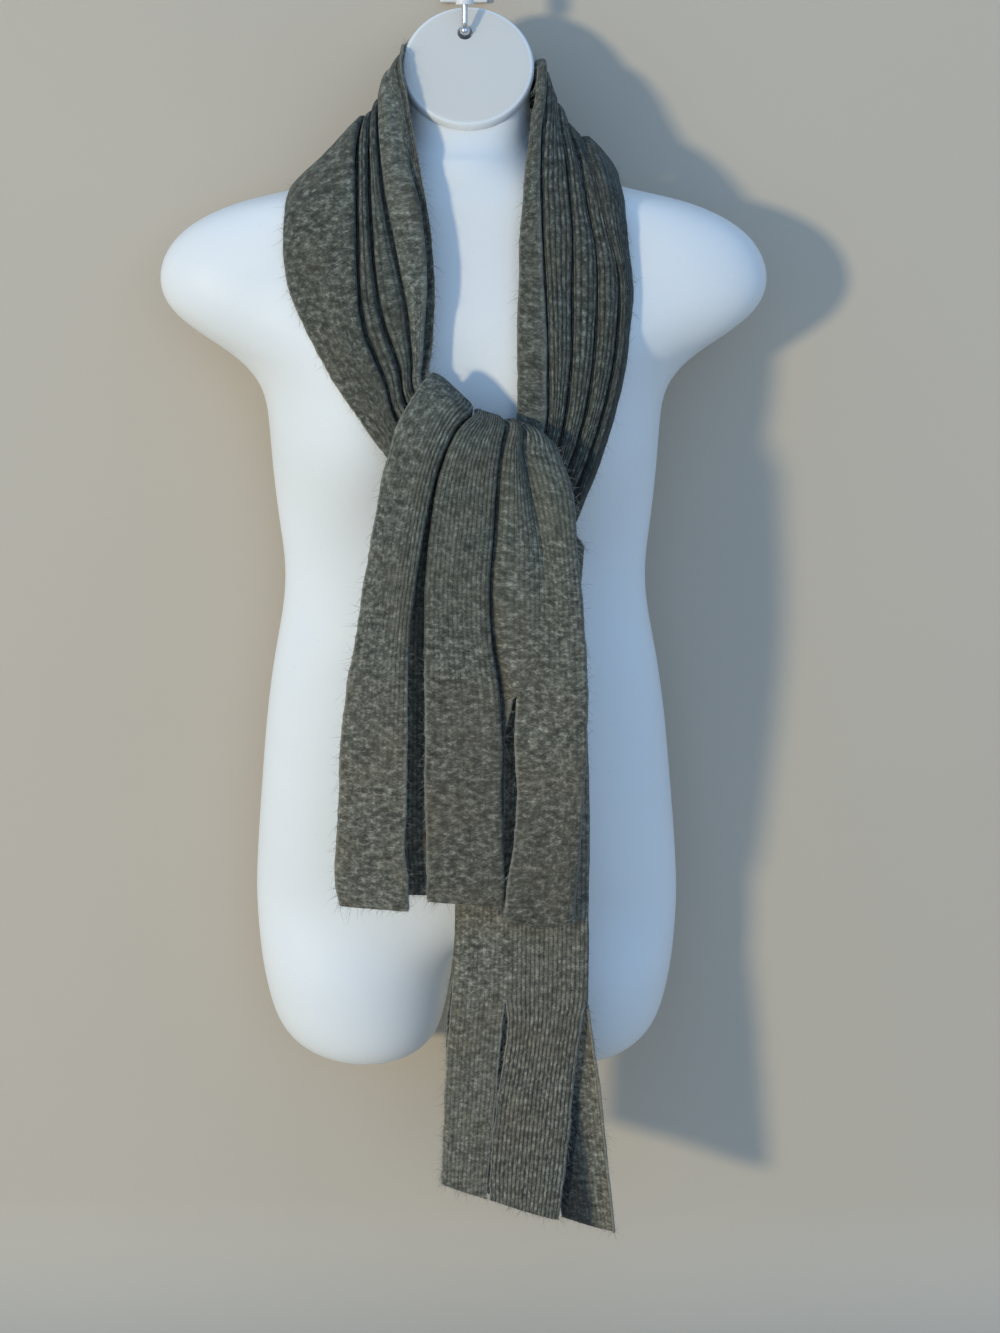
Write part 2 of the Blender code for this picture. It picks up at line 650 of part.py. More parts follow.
def cloth(name, strips, cuts, tops, material):
    """Skin strips of rows into one wall; each cut opens from its row down.

    strips holds, for each strip, its rows of points. Two neighbours share
    their edge above the cut's row and part below it. tops says how many faces
    are left out at the top of each cut, before and after it.
    """
    points = []
    faces = []
    shared = []
    for number, rows in enumerate(strips):
        ids = []
        for i, row in enumerate(rows):
            line = []
            for k, point in enumerate(row):
                if k == 0 and number and i <= cuts[number - 1]:
                    line.append(shared[i])
                else:
                    line.append(len(points))
                    points.append(tuple(point * MM))
            ids.append(line)
        shared = [line[-1] for line in ids]
        for i, (upper, lower) in enumerate(zip(ids, ids[1:])):
            first = 0
            last = len(upper) - 1
            if number and i == cuts[number - 1]:
                first = tops[number - 1][1]
            if number < len(cuts) and i == cuts[number]:
                last -= tops[number][0]
            for k in range(first, last):
                faces.append((upper[k], lower[k], lower[k + 1], upper[k + 1]))
    mesh = bpy.data.meshes.new(name)
    mesh.from_pydata(points, [], faces)
    mesh.validate()
    piece = add_object(name, mesh, material)
    wall = piece.modifiers.new("wall", "SOLIDIFY")
    wall.thickness = WALL * MM
    wall.offset = 0.0
    wall.use_even_offset = False
    return piece


def build_collar(shape, wool):
    """Make the three stretches of the wound cloth, parted at their seams."""
    spans = [
        ("strand_left", 0.0, LEFT_SEAM_ROW - SEAM_SHARE, ROWS_STRAND),
        ("neck_back", LEFT_SEAM_ROW, RIGHT_SEAM_ROW, ROWS_NECK),
        ("strand_right", RIGHT_SEAM_ROW + SEAM_SHARE, len(COLLAR) - 1.0, ROWS_STRAND),
    ]
    places = []
    for _, start, end, count in spans:
        places += steps(start, end, count)
    laid = [collar_row(at) for at in places]
    rows = off_form([row for row, _ in laid], [out for _, out in laid], shape)
    for name, _, _, count in spans:
        cloth(name, [rows[:count]], [], [], wool)
        rows = rows[count:]


def build_turn(wool):
    """Make the hidden turn round the right strand."""
    rows = []
    for at in steps(0, len(KNOT_TURN) - 1, ROWS_TURN):
        turn = spline(KNOT_TURN, at)
        lower = Vector((turn.lx, turn.ly, turn.lz))
        upper = Vector((turn.ux, turn.uy, turn.uz))
        rows.append([lower.lerp(upper, share) for share in steps(0, 1, TURN_POINTS)])
    cloth("knot_turn", [rows], [], [], wool)


def front_row(at, hem):
    """Return one row of the short end as its four strips of points.

    The first, third and fourth strips lie in front. The second lies in the
    recess behind, and its turned edges reach the folds of its neighbours.
    """
    row = spline(SHORT_END, at)
    span = row.right - row.left
    ahead = spline(SHORT_END, min(at + 0.1, len(SHORT_END) - 1))
    behind = spline(SHORT_END, max(at - 0.1, 0))
    travel = Vector((0, ahead.y - behind.y, (ahead.zl + ahead.zr - behind.zl - behind.zr) / 2))
    travel.normalize()
    inward = Vector((0, -travel.z, travel.y))
    opened = at > SHORT_LAST_CUT

    def spot(x, depth):
        share = (x - row.left) / span
        z = mixed(row.zl, row.zr, share)
        if x > row.p3l:
            z -= hem * math.sin(math.pi * (x - row.p3l) / (row.right - row.p3l))
        return Vector((x, row.y, z)) + depth * inward

    width = row.p1 - row.left
    first = [spot(row.left + width * s, d) for s, d in FIRST_LINE]
    tuck_left = min(RECESS_TUCK, LEFT_TUCK_SHARE * width)
    width = row.p2r - row.p2l
    tuck_right = min(RECESS_TUCK, RIGHT_TUCK_SHARE * width)
    left = row.p1 - tuck_left
    right = row.p2l + tuck_right
    is_cut = at > SHORT_FIRST_CUT
    edge = EDGE_GAP if is_cut else 0.0
    level = LAYER if is_cut else 0.0
    second = [spot(row.p1 - edge / 2, level), spot(row.p1 - edge, LAYER),
              spot(left, LAYER + TURN_LEVEL), spot(left, RECESS),
              spot(mixed(row.p1, row.p2l, 0.5), RECESS),
              spot(right, RECESS), spot(right, LAYER + TURN_LEVEL),
              spot(row.p2l + edge, LAYER), spot(row.p2l + edge / 2, level)]
    third = [spot(row.p2l + width * s, d) for s, d in SECOND_LINE]
    if opened:
        margin = [(row.p3l + x, d) for x, d in OPEN_EDGE]
        fourth = [spot(x, d) for x, d in margin]
    else:
        under = min(row.under, MOST_UNDER * width)
        margin = [(row.p2r, LAYER), (row.p2r - under, LAYER + TURN_LEVEL),
                  (row.p2r - under, PLEAT + UNDER_RISE),
                  (row.p2r + UNDER_TURN, PLEAT + UNDER_RISE), (row.p3l + UNDER_END, UNDER_RISE)]
        fourth = [third[-1]] + [spot(x, d) for x, d in margin]
    share, dip = VALLEY_START
    fourth.append(spot(mixed(margin[-1][0], row.valley, share), dip * row.dip))
    fourth.append(spot(row.valley, row.dip))
    share, dip = VALLEY_RISE
    fourth.append(spot(mixed(row.valley, row.right, share), dip * row.dip))
    fourth += [spot(mixed(row.valley, row.right, s), d) for s, d in RIGHT_LINE]
    return [first, second, third, fourth]


def build_short_end(wool):
    """Make the short end that falls in front of the knot."""
    last = len(SHORT_END) - 1
    places = steps(0, last, ROWS_SHORT)
    strips = [[], [], [], []]
    for at in places:
        hem = SHORT_HEM_BULGE * smooth(at, last - 1, last)
        for strip, points in zip(strips, front_row(at, hem)):
            strip.append(points)
    first = sum(at < SHORT_FIRST_CUT for at in places) - 1
    third = sum(at < SHORT_LAST_CUT for at in places) - 1
    cloth("front_end", strips, [first, first, third], [(0, 2), (2, 0), (0, 4)], wool)


def tail_row(at):
    """Return one row of the long end as its four strips of points.

    The two front strips are flanked by two that lie folded behind them.
    """
    row = spline(LONG_END, at)
    span = row.right - row.left

    def spot(x, depth):
        share = max(SIDE_LIMITS[0], min(SIDE_LIMITS[1], (x - row.left) / span))
        return Vector((x, row.y + depth, mixed(row.zl, row.zr, share)))

    back = BACK_STEP
    cut_left = at > LONG_LEFT_CUT
    cut_right = at > LONG_RIGHT_CUT
    far = [spot(mixed(row.far_r, row.far_l, s), back) for s in FAR_SHARES]
    far.append(spot(row.far_l - EDGE_STEP, back - EDGE_IN))
    far.append(spot(row.far_l, back - FAR_OUT) if cut_left else spot(row.left, EDGE_IN))
    one = [spot(row.left, EDGE_IN)]
    one += [spot(mixed(row.left, row.c1, s), d) for s, d in ONE_LINE]
    two = [spot(mixed(row.c2, row.right, s), d) for s, d in TWO_LINE]
    two.append(spot(row.right, EDGE_IN))
    behind = [spot(row.back_r, BEHIND_IN) if cut_right else spot(row.right, EDGE_IN),
              spot(row.back_r + EDGE_STEP, back - EDGE_IN)]
    behind += [spot(mixed(row.back_r, row.back_l, s), back) for s in BEHIND_SHARES]
    return [far, one, two, behind]


def build_long_end(wool):
    """Make the long end that hangs behind the short one."""
    last = len(LONG_END) - 1
    places = steps(0, last, ROWS_LONG)
    strips = [[], [], [], []]
    for at in places:
        for strip, points in zip(strips, tail_row(at)):
            strip.append(points)
    cuts = [sum(at <= cut for at in places) - 1
            for cut in (LONG_LEFT_CUT, LONG_MIDDLE_CUT, LONG_RIGHT_CUT)]
    cloth("long_end", strips, cuts, [(1, 0), (0, 0), (0, 1)], wool)


def build_all():
    for thing in list(bpy.data.objects):
        bpy.data.objects.remove(thing)
    plastic = make_material("form_plastic", (0.76, 0.79, 0.80), 0.35)
    white = make_material("plate_plastic", (0.80, 0.80, 0.80), 0.4)
    steel = make_material("hook_steel", (0.72, 0.73, 0.75), 0.2, 1.0)
    wool = make_material("grey_wool", (0.09, 0.095, 0.085), 0.95)
    form = build_form(plastic)
    build_plate(white)
    build_wire(steel)
    bpy.context.view_layer.update()
    shape = BVHTree.FromObject(form, bpy.context.evaluated_depsgraph_get())
    build_collar(shape, wool)
    build_turn(wool)
    build_short_end(wool)
    build_long_end(wool)


build_all()
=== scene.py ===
"""Looks of a grey rib-knit scarf knotted round a hanging torso form.

The scarf, the form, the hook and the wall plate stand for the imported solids
and lie where those lie. Every table and named size is in millimetres, in the
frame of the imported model: +X to the viewer's right, the front faces -Y, +Z up.
"""
import math
import random
from collections import namedtuple

import bpy
import numpy as np
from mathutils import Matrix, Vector, noise
from mathutils.bvhtree import BVHTree


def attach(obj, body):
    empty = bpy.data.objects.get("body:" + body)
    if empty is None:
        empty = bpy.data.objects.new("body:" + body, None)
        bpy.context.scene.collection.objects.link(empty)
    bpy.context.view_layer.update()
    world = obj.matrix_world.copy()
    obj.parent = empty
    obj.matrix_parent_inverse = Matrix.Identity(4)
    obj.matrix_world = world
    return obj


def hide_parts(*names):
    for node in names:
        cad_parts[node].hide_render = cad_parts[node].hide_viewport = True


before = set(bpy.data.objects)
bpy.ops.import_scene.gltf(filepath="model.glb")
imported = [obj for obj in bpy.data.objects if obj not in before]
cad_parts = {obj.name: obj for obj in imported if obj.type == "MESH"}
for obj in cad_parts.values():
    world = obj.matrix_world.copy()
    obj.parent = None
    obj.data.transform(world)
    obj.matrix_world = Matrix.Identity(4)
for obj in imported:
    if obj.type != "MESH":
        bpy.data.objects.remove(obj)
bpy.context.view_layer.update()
bpy.context.scene.view_settings.view_transform = "Standard"

MM = 0.001

# The camera of the photograph
CAMERA_PLACE = (0.0276, -1.535, -0.130)
CAMERA_PITCH = 75.0
CAMERA_LENS = 51.31
SENSOR = 36.0

# The cloth
WALL = 2.0
LAYER = 4.0
PLEAT = 2 * LAYER
TUCK = 13.0
RISE = 6.0
GROOVE = 3.0
CLEAR = 1.0
EDGE_LEVEL = 0.35
LEVEL_ROOM = 8.0
LOW_ROOM = 12.0
SPACING = 1.7
ROW_STEP = 3.3
RIB_PITCH = 3.0
CROWN = 1.6
EDGE_IN = 2.0

# Where the pale mark stands among a point's values, and its least value on
# free edges
PALE = 5
EDGE_PALE = 0.55
# How many rows on each side set a row's direction, how far each piece's knit
# is moved on so that no two match, and how far lifts off the form spread
TRAVEL_REACH = 4
KNIT_SHIFT = (300.0, 700.0)
EASE_REACH = (6, 5)
SHARP = math.radians(50)

# The form
RING_POINTS = 36
NECK_TILT = 63.5
NECK_SHIFT = 4.3
BUST_X = 76.0
BUST_Z = -322.0
BUST_HEIGHT = 22.0
BUST_SIDE = 72.0
BUST_OUTER = 88.0
BUST_ABOVE = 120.0
BUST_BELOW = 82.0
BUST_SOFT = 1.5
BUST_FIRM = 1.1
BODY_Y = -60.0
CROTCH_POINTS = 5
LEG_TURN = 150.0
CROTCH_Y = -64.0
CROTCH_Z = -757.0
CROTCH_RISE = 24.0
CROTCH_REACH = 42.0

# The hook and its plate
HOOK_X = 2.0
HOLE_Y = -73.0
HOLE_Z = -42.0
HOLE_RADIUS = 5.6
HOLE_DEPTH = 20.0
WIRE_RADIUS = 2.1
WIRE_Y = -79.0
WIRE_TOP = -10.0
WIRE_LEVEL = -40.5
WIRE_BEND = 6.0
WIRE_END_Y = -69.0
BEAD_RADIUS = 3.8
BEAD_Y = -76.0

# One ring of the torso: height, middle y, half width, depth in front of and
# behind the middle, the tilt of the ring towards the front in degrees, and
# how full its corners are (1 is an ellipse, less is squarer)
Ring = namedtuple("Ring", "z y half front back tilt full")
TORSO = [Ring(*row) for row in (
    (-65, -85, 45.3, 45, 45, NECK_TILT, 1),
    (-65.3, -84.4, 47.3, 47, 47, NECK_TILT, 1),
    (-66.4, -82.2, 48.6, 48.3, 48.3, NECK_TILT, 1),
    (-68.6, -79.3, 48.6, 48.3, 48, NECK_TILT, 1),
    (-70.4, -77.4, 47, 46.6, 46, 61, 1),
    (-74.6, -75.6, 45.4, 46.2, 44, 56, 1),
    (-88, -71, 45, 48, 42, 46, 1),
    (-106, -66, 47.5, 49, 42, 28, 1),
    (-121, -63, 55, 51, 42, 12, 1),
    (-135, -61, 74, 54, 42, 4, 1),
    (-147, -60, 102, 56, 41, 0, 0.95),
    (-155, -60, 136, 57, 40, 0, 0.86),
    (-162, -60, 172, 59, 40, 0, 0.78),
    (-178, -60, 208, 60, 40, 0, 0.72),
    (-198, -60, 227, 62, 40, 0, 0.70),
    (-220, -60, 233, 64, 41, 0, 0.68),
    (-241, -60, 226, 66, 42, 0, 0.70),
    (-260, -60, 202, 67, 43, 0, 0.76),
    (-278, -60, 173, 68, 44, 0, 0.86),
    (-300, -60, 155, 69, 45, 0, 0.94),
    (-325, -60, 152, 69, 45, 0, 1),
    (-352, -60, 151, 68, 45, 0, 1),
    (-380, -60, 149, 65, 44, 0, 1),
    (-410, -60, 146, 61, 43, 0, 1),
    (-442, -60, 142, 58, 43, 0, 1),
    (-475, -60, 145, 60, 45, 0, 1),
    (-510, -60, 153, 64, 47, 0, 0.95),
    (-560, -60, 161, 68, 49, 0, 0.95),
    (-610, -60, 166, 69, 51, 0, 0.95),
    (-660, -60, 171, 67, 52, 0, 0.95),
    (-698, -60, 174, 64, 50, 0, 0.95),
    (-726, -60, 175, 60, 47, 0, 0.95),
)]

# One ring of a thigh stump: height, middle x, half width, front and back depth
ThighRing = namedtuple("ThighRing", "z x half front back")
THIGH = [ThighRing(*row) for row in (
    (-768, 91, 82, 60, 48),
    (-792, 91.5, 78, 61, 49),
    (-820, 91, 73, 58, 46),
    (-842, 89, 64, 52, 41),
    (-856, 86, 49, 41, 32),
    (-863, 84, 31, 27, 21),
    (-866, 83, 12, 11, 9),
)]

# One section of the wound cloth, from its outer edge to its inner edge: both
# ends, the bow between them, the way its pleats lap (1 outer over inner, -1
# inner over outer), and its four folds as shares of the width
Section = namedtuple("Section", "ox oy oz ix iy iz bow lap f1 f2 f3 f4")
COLLAR = [Section(*row) for row in (
    (72, -169, -452, 79, -168, -400, 0, 1, .30, .50, .68, .86),
    (38, -170, -428, 52, -169, -360, 0, 1, .31, .51, .69, .86),
    (-16, -166, -382, 14, -165, -318, 0, 1, .32, .52, .70, .86),
    (-54, -152, -341, -21, -152, -287, 1, 1, .34, .54, .70, .86),
    (-79, -140, -308, -21, -145, -262, 3, 1, .40, .58, .73, .89),
    (-100, -128, -272, -19, -144, -222, 6, 1, .38, .54, .74, .94),
    (-120, -121, -235, -22, -139, -180, 8, 1, .48, .59, .735, .96),
    (-127, -115, -208, -29, -131, -139, 6, 1, .55, .64, .735, .965),
    (-127, -107, -182, -37, -113, -98, 0, 1, .59, .675, .745, .97),
    (-122, -90, -159, -43, -92, -63, -14, 1, .60, .665, .735, .955),
    (-112, -60, -149, -38, -65, -50, -25, 1, .54, .605, .665, .955),
    (-96, -28, -155, -42, -45, -55, -24, 1, .50, .58, .66, .945),
    (-68, -14, -168, -36, -30, -58, -4, 1, .52, .64, .76, .88),
    (0, -12, -174, 0, -26, -66, 0, 0, .46, .60, .73, .87),
    (66, -14, -166, 36, -30, -62, -4, -1, .42, .58, .71, .88),
    (88, -28, -152, 48, -46, -66, -12, -1, .40, .57, .72, .93),
    (107, -58, -147, 53, -70, -64, -10, -1, .40, .58, .74, .97),
    (111, -90, -166, 52, -96, -84, -4, -1, .44, .60, .77, .96),
    (117, -108, -190, 48, -114, -114, 2, -1, .30, .50, .68, .93),
    (122, -115, -224, 44, -126, -154, 5, -1, .18, .39, .61, .88),
    (118, -124, -262, 41, -133, -204, 6, -1, .14, .33, .56, .81),
    (109, -140, -314, 40, -142, -260, 4, -1, .14, .30, .50, .73),
    (98, -150, -352, 40, -150, -305, 1, -1, .16, .32, .50, .68),
    (82, -154, -392, 38, -154, -350, 0, -1, .19, .38, .56, .74),
    (76, -155, -413, 38, -155, -385, 0, -1, .19, .42, .60, .77),
)]
LEFT_SEAM_ROW = 12.0
RIGHT_SEAM_ROW = 14.0

# The hidden turn of the left strand round the right one: lower and upper edge
Turn = namedtuple("Turn", "lx ly lz ux uy uz")
KNOT_TURN = [Turn(*row) for row in (
    (73.6, -171, -453, 80.6, -170, -401),
    (82, -166, -458, 86, -165, -406),
    (85, -157, -459, 89, -156, -408),
    (80, -149, -453, 85, -149, -402),
    (64, -147, -430, 72, -148, -382),
    (44, -146.5, -395, 56, -147, -354),
    (14, -143, -348, 34, -143, -338.8),
)]

# One section of the short end: height at its left and right edges, y of its
# front, the left edge, the right fold of the first pleat, both folds of the
# second, the left fold, valley and right edge of the third, the valley's
# depth, and how far the cloth runs under the second pleat
Front = namedtuple("Front", "zl zr y left p1 p2l p2r p3l valley right dip under")
SHORT_END = [Front(*row) for row in (
    (-334, -338, -142, -6, 7, 10, 18, 19, 26.5, 34, 0, 1),
    (-298, -322, -144, -14, 6, 9, 19.5, 21, 28, 35, 0, 1),
    (-278, -314, -162, -20, 7, 10, 23, 25, 32, 40, 1, 4),
    (-282, -324, -179, -26, 6, 9, 30, 33, 43, 64, 4, 8),
    (-306, -342, -190, -42, -6, -3, 27, 30, 43, 73, 6, 10),
    (-339, -366, -194, -53, -18, -14, 24, 27, 49, 80, 6, 11),
    (-375, -402, -194, -61, -26, -21, 22, 25, 57, 83, 4, 11),
    (-425, -438, -193, -70, -34, -26, 19, 22, 60, 87, 2, 10),
    (-470, -475, -191, -78, -39, -27, 21, 25, 60, 90, 0, 6),
    (-507, -510, -189, -85, -40, -28, 26, 31, 61, 92, 0, 1),
    (-550, -550, -187, -91, -41, -28, 28.5, 39, 65, 92, 0, 1),
    (-590, -592, -185, -93, -42, -29, 28, 41, 66, 90.5, 0, 1),
    (-630, -636, -184, -96, -44, -28, 29.5, 37, 62, 88, 0, 1),
    (-658, -670, -183, -98, -42, -28, 30, 33.5, 59, 85.5, 0, 1),
    (-682, -694, -182, -95, -42, -28, 28, 31, 56, 83, 0, 1),
)]
SHORT_HEM_BULGE = 8.0
SHORT_FIRST_CUT = 8.3
SHORT_LAST_CUT = 9.1
RECESS = 9.0
RECESS_TUCK = 11.0
EDGE_GAP = 2.6

# One section of the long end: height at its left and right edges, y of its
# front, left edge, cut between the two front strips (both sides), right edge
# of the second strip, both edges of the strip behind on the right, and both
# edges of the one behind on the left
Tail = namedtuple("Tail", "zl zr y left c1 c2 right back_r back_l far_r far_l")
LONG_END = [Tail(*row) for row in (
    (-386.2, -414.2, -163, 36, 52, 52, 76, 75, 58, 54, 37),
    (-425, -440, -163, 30, 50, 50, 75, 74, 54, 50, 31),
    (-470, -475, -164, 18, 43, 43, 82, 81, 53, 49, 19),
    (-530, -530, -165, 6, 37, 37, 91, 90, 52, 46, 7),
    (-600, -600, -165, -3, 34, 34, 95, 94, 51, 45, -2),
    (-685, -685, -164, -6, 33, 33, 96, 95, 50, 44, -5),
    (-740, -740, -165, -8, 32.5, 32.5, 96, 95, 50, 43, -8),
    (-765, -765, -165, -10, 32, 32, 96, 95.5, 50, 42, -11),
    (-785, -785, -165, -11.5, 29.8, 33.6, 92.5, 97.5, 51, 41, -13.5),
    (-815, -815, -165, -14, 27.2, 31.4, 88.5, 102, 55, 39, -13.5),
    (-850, -850, -165, -16, 25, 25.8, 85.5, 107, 61, 37, -14.5),
    (-885, -885, -165, -17.5, 21.2, 21.8, 83, 110.5, 66, 34, -16),
    (-915, -918, -165, -19, 18.8, 19.6, 80, 114, 71, 31, -17),
    (-929, -962, -165, -19, 16.8, 19.6, 75, 120, 78, 29, -17),
)]
LONG_LEFT_CUT = 6.4
LONG_MIDDLE_CUT = 7.15
LONG_RIGHT_CUT = 7.5
BACK_STEP = 9.0


def spline(rows, at):
    """Return the table row at a fractional index, on a Catmull-Rom curve."""
    last = len(rows) - 1
    low = min(int(at), last - 1)
    t = at - low
    picks = [rows[max(low - 1, 0)], rows[low], rows[low + 1], rows[min(low + 2, last)]]
    values = []
    for a, b, c, d in zip(*picks):
        bend = 2 * a - 5 * b + 4 * c - d
        twist = 3 * b - a - 3 * c + d
        values.append(0.5 * (2 * b + (c - a) * t + bend * t * t + twist * t ** 3))
    return type(rows[0])(*values)


def steps(start, end, count):
    """Return evenly spaced values from start to end."""
    return [start + (end - start) * i / (count - 1) for i in range(count)]


def mixed(low, high, share):
    return low + (high - low) * share


def smooth(value, low, high):
    """Rise softly from 0 at low to 1 at high."""
    t = max(0.0, min(1.0, (value - low) / (high - low)))
    return t * t * (3 - 2 * t)


def listed(values, at):
    """Read a short list of numbers at a fractional index."""
    low = max(0, min(int(at), len(values) - 2))
    return mixed(values[low], values[low + 1], max(0.0, min(1.0, at - low)))


def new_mesh(name, points, faces):
    mesh = bpy.data.meshes.new(name)
    mesh.from_pydata(points, [], faces)
    return mesh


def add_object(name, mesh, material):
    """Put a mesh in the scene with its material and smooth shading."""
    thing = bpy.data.objects.new(name, mesh)
    bpy.context.collection.objects.link(thing)
    mesh.materials.append(material)
    mesh.shade_smooth()
    return thing


class Wiring:
    """Short calls for adding and joining the nodes of one material."""

    def __init__(self, name):
        self.material = bpy.data.materials.new(name)
        self.material.use_nodes = True
        self.tree = self.material.node_tree
        self.shader = self.tree.nodes["Principled BSDF"]
        self.place = self.add("ShaderNodeTexCoord").outputs["Object"]

    def add(self, kind, **settings):
        node = self.tree.nodes.new(kind)
        for key, value in settings.items():
            setattr(node, key, value)
        return node

    def join(self, source, target):
        self.tree.links.new(source, target)

    def put(self, sockets, values):
        """Set sockets, by position or name, from numbers or from other sockets."""
        for key, value in values.items() if isinstance(values, dict) else enumerate(values):
            if isinstance(value, bpy.types.NodeSocket):
                self.join(value, sockets[key])
            else:
                sockets[key].default_value = value

    def wired(self, kind, output, values, **settings):
        """Add a node, fill its inputs and return one of its outputs."""
        node = self.add(kind, **settings)
        self.put(node.inputs, values)
        return node.outputs[output]

    def split(self, value, kind="XYZ"):
        """Return the three parts of a place or a colour."""
        node = self.add("ShaderNodeSeparate" + kind)
        self.join(value, node.inputs[0])
        return node.outputs

    def math(self, operation, *values):
        return self.wired("ShaderNodeMath", 0, values, operation=operation)

    def times(self, a, b):
        return self.math("MULTIPLY", a, b)

    def scaled(self, value, change):
        """Return 1 plus the value times a change."""
        return self.math("MULTIPLY_ADD", value, change, 1.0)

    def noise(self, place, scale, detail=2.0, rough=0.5):
        values = {"Vector": place, "Scale": scale, "Detail": detail, "Roughness": rough}
        return self.wired("ShaderNodeTexNoise", "Fac", values)

    def stretched(self, place, x, y):
        return self.wired("ShaderNodeMapping", 0, {"Vector": place, "Scale": (x, y, 1.0)})

    def ramp(self, value, low, high, to_low=0.0, to_high=1.0):
        values = {"Value": value, "From Min": low, "From Max": high, "To Min": to_low,
                  "To Max": to_high}
        return self.wired("ShaderNodeMapRange", "Result", values, clamp=True)

    def blend(self, share, a, b, mode="MIX"):
        values = {"Factor": share, 6: a, 7: b}
        return self.wired("ShaderNodeMix", 2, values, data_type="RGBA", blend_type=mode)

    def mottled(self, scale, detail, low, high, first, second):
        """Return a colour that drifts from a first to a second one in soft clouds."""
        return self.blend(self.ramp(self.noise(self.place, scale, detail), low, high),
                          first, second)

    def tinted(self, colour, parts):
        """Multiply a colour's red, green and blue by three parts."""
        grey = self.wired("ShaderNodeCombineColor", 0, parts)
        return self.blend(1.0, colour, grey, "MULTIPLY")

    def bump(self, height, distance, strength, under=None):
        values = {"Height": height, "Distance": distance, "Strength": strength}
        if under is not None:
            values["Normal"] = under
        return self.wired("ShaderNodeBump", "Normal", values)

    def finished(self, values):
        """Fill the shader's sockets and return the material."""
        self.put(self.shader.inputs, values)
        return self.material


# The wool's ground in its darker and lighter clouds, its flecks, its brown
# patches, the painted shade in the valleys between ribs, and the pale raw edges,
# which also serve as a painted highlight along turned fold edges
GROUND_DARK = (0.074, 0.081, 0.067, 1)
GROUND_LIGHT = (0.128, 0.136, 0.114, 1)
FLECK_LIGHT = (0.325, 0.335, 0.288, 1)
FLECK_DARK = (0.026, 0.030, 0.029, 1)
BROWN_PATCH = (0.120, 0.100, 0.070, 1)
RIB_GROOVE_SHADE = (0.016, 0.019, 0.020, 1)
# Pale raw edges, also used as a painted highlight along turned fold edges
PALE_EDGE_AND_HIGHLIGHT = (0.40, 0.39, 0.34, 1)
# How much more red, green and blue the wool gets: a painted bluish shade deep in its folds and
# recesses, and warmer towards the bottom
BLUE_OF_FOLD_SHADE = (-0.14, 0.04, 0.34)
WARM_BELOW = (0.13, 0.03, -0.02)
# How far the ribs stray in metres, and the length of a stitch in millimetres
RIB_WANDER = 0.0009
STITCH = 1.25


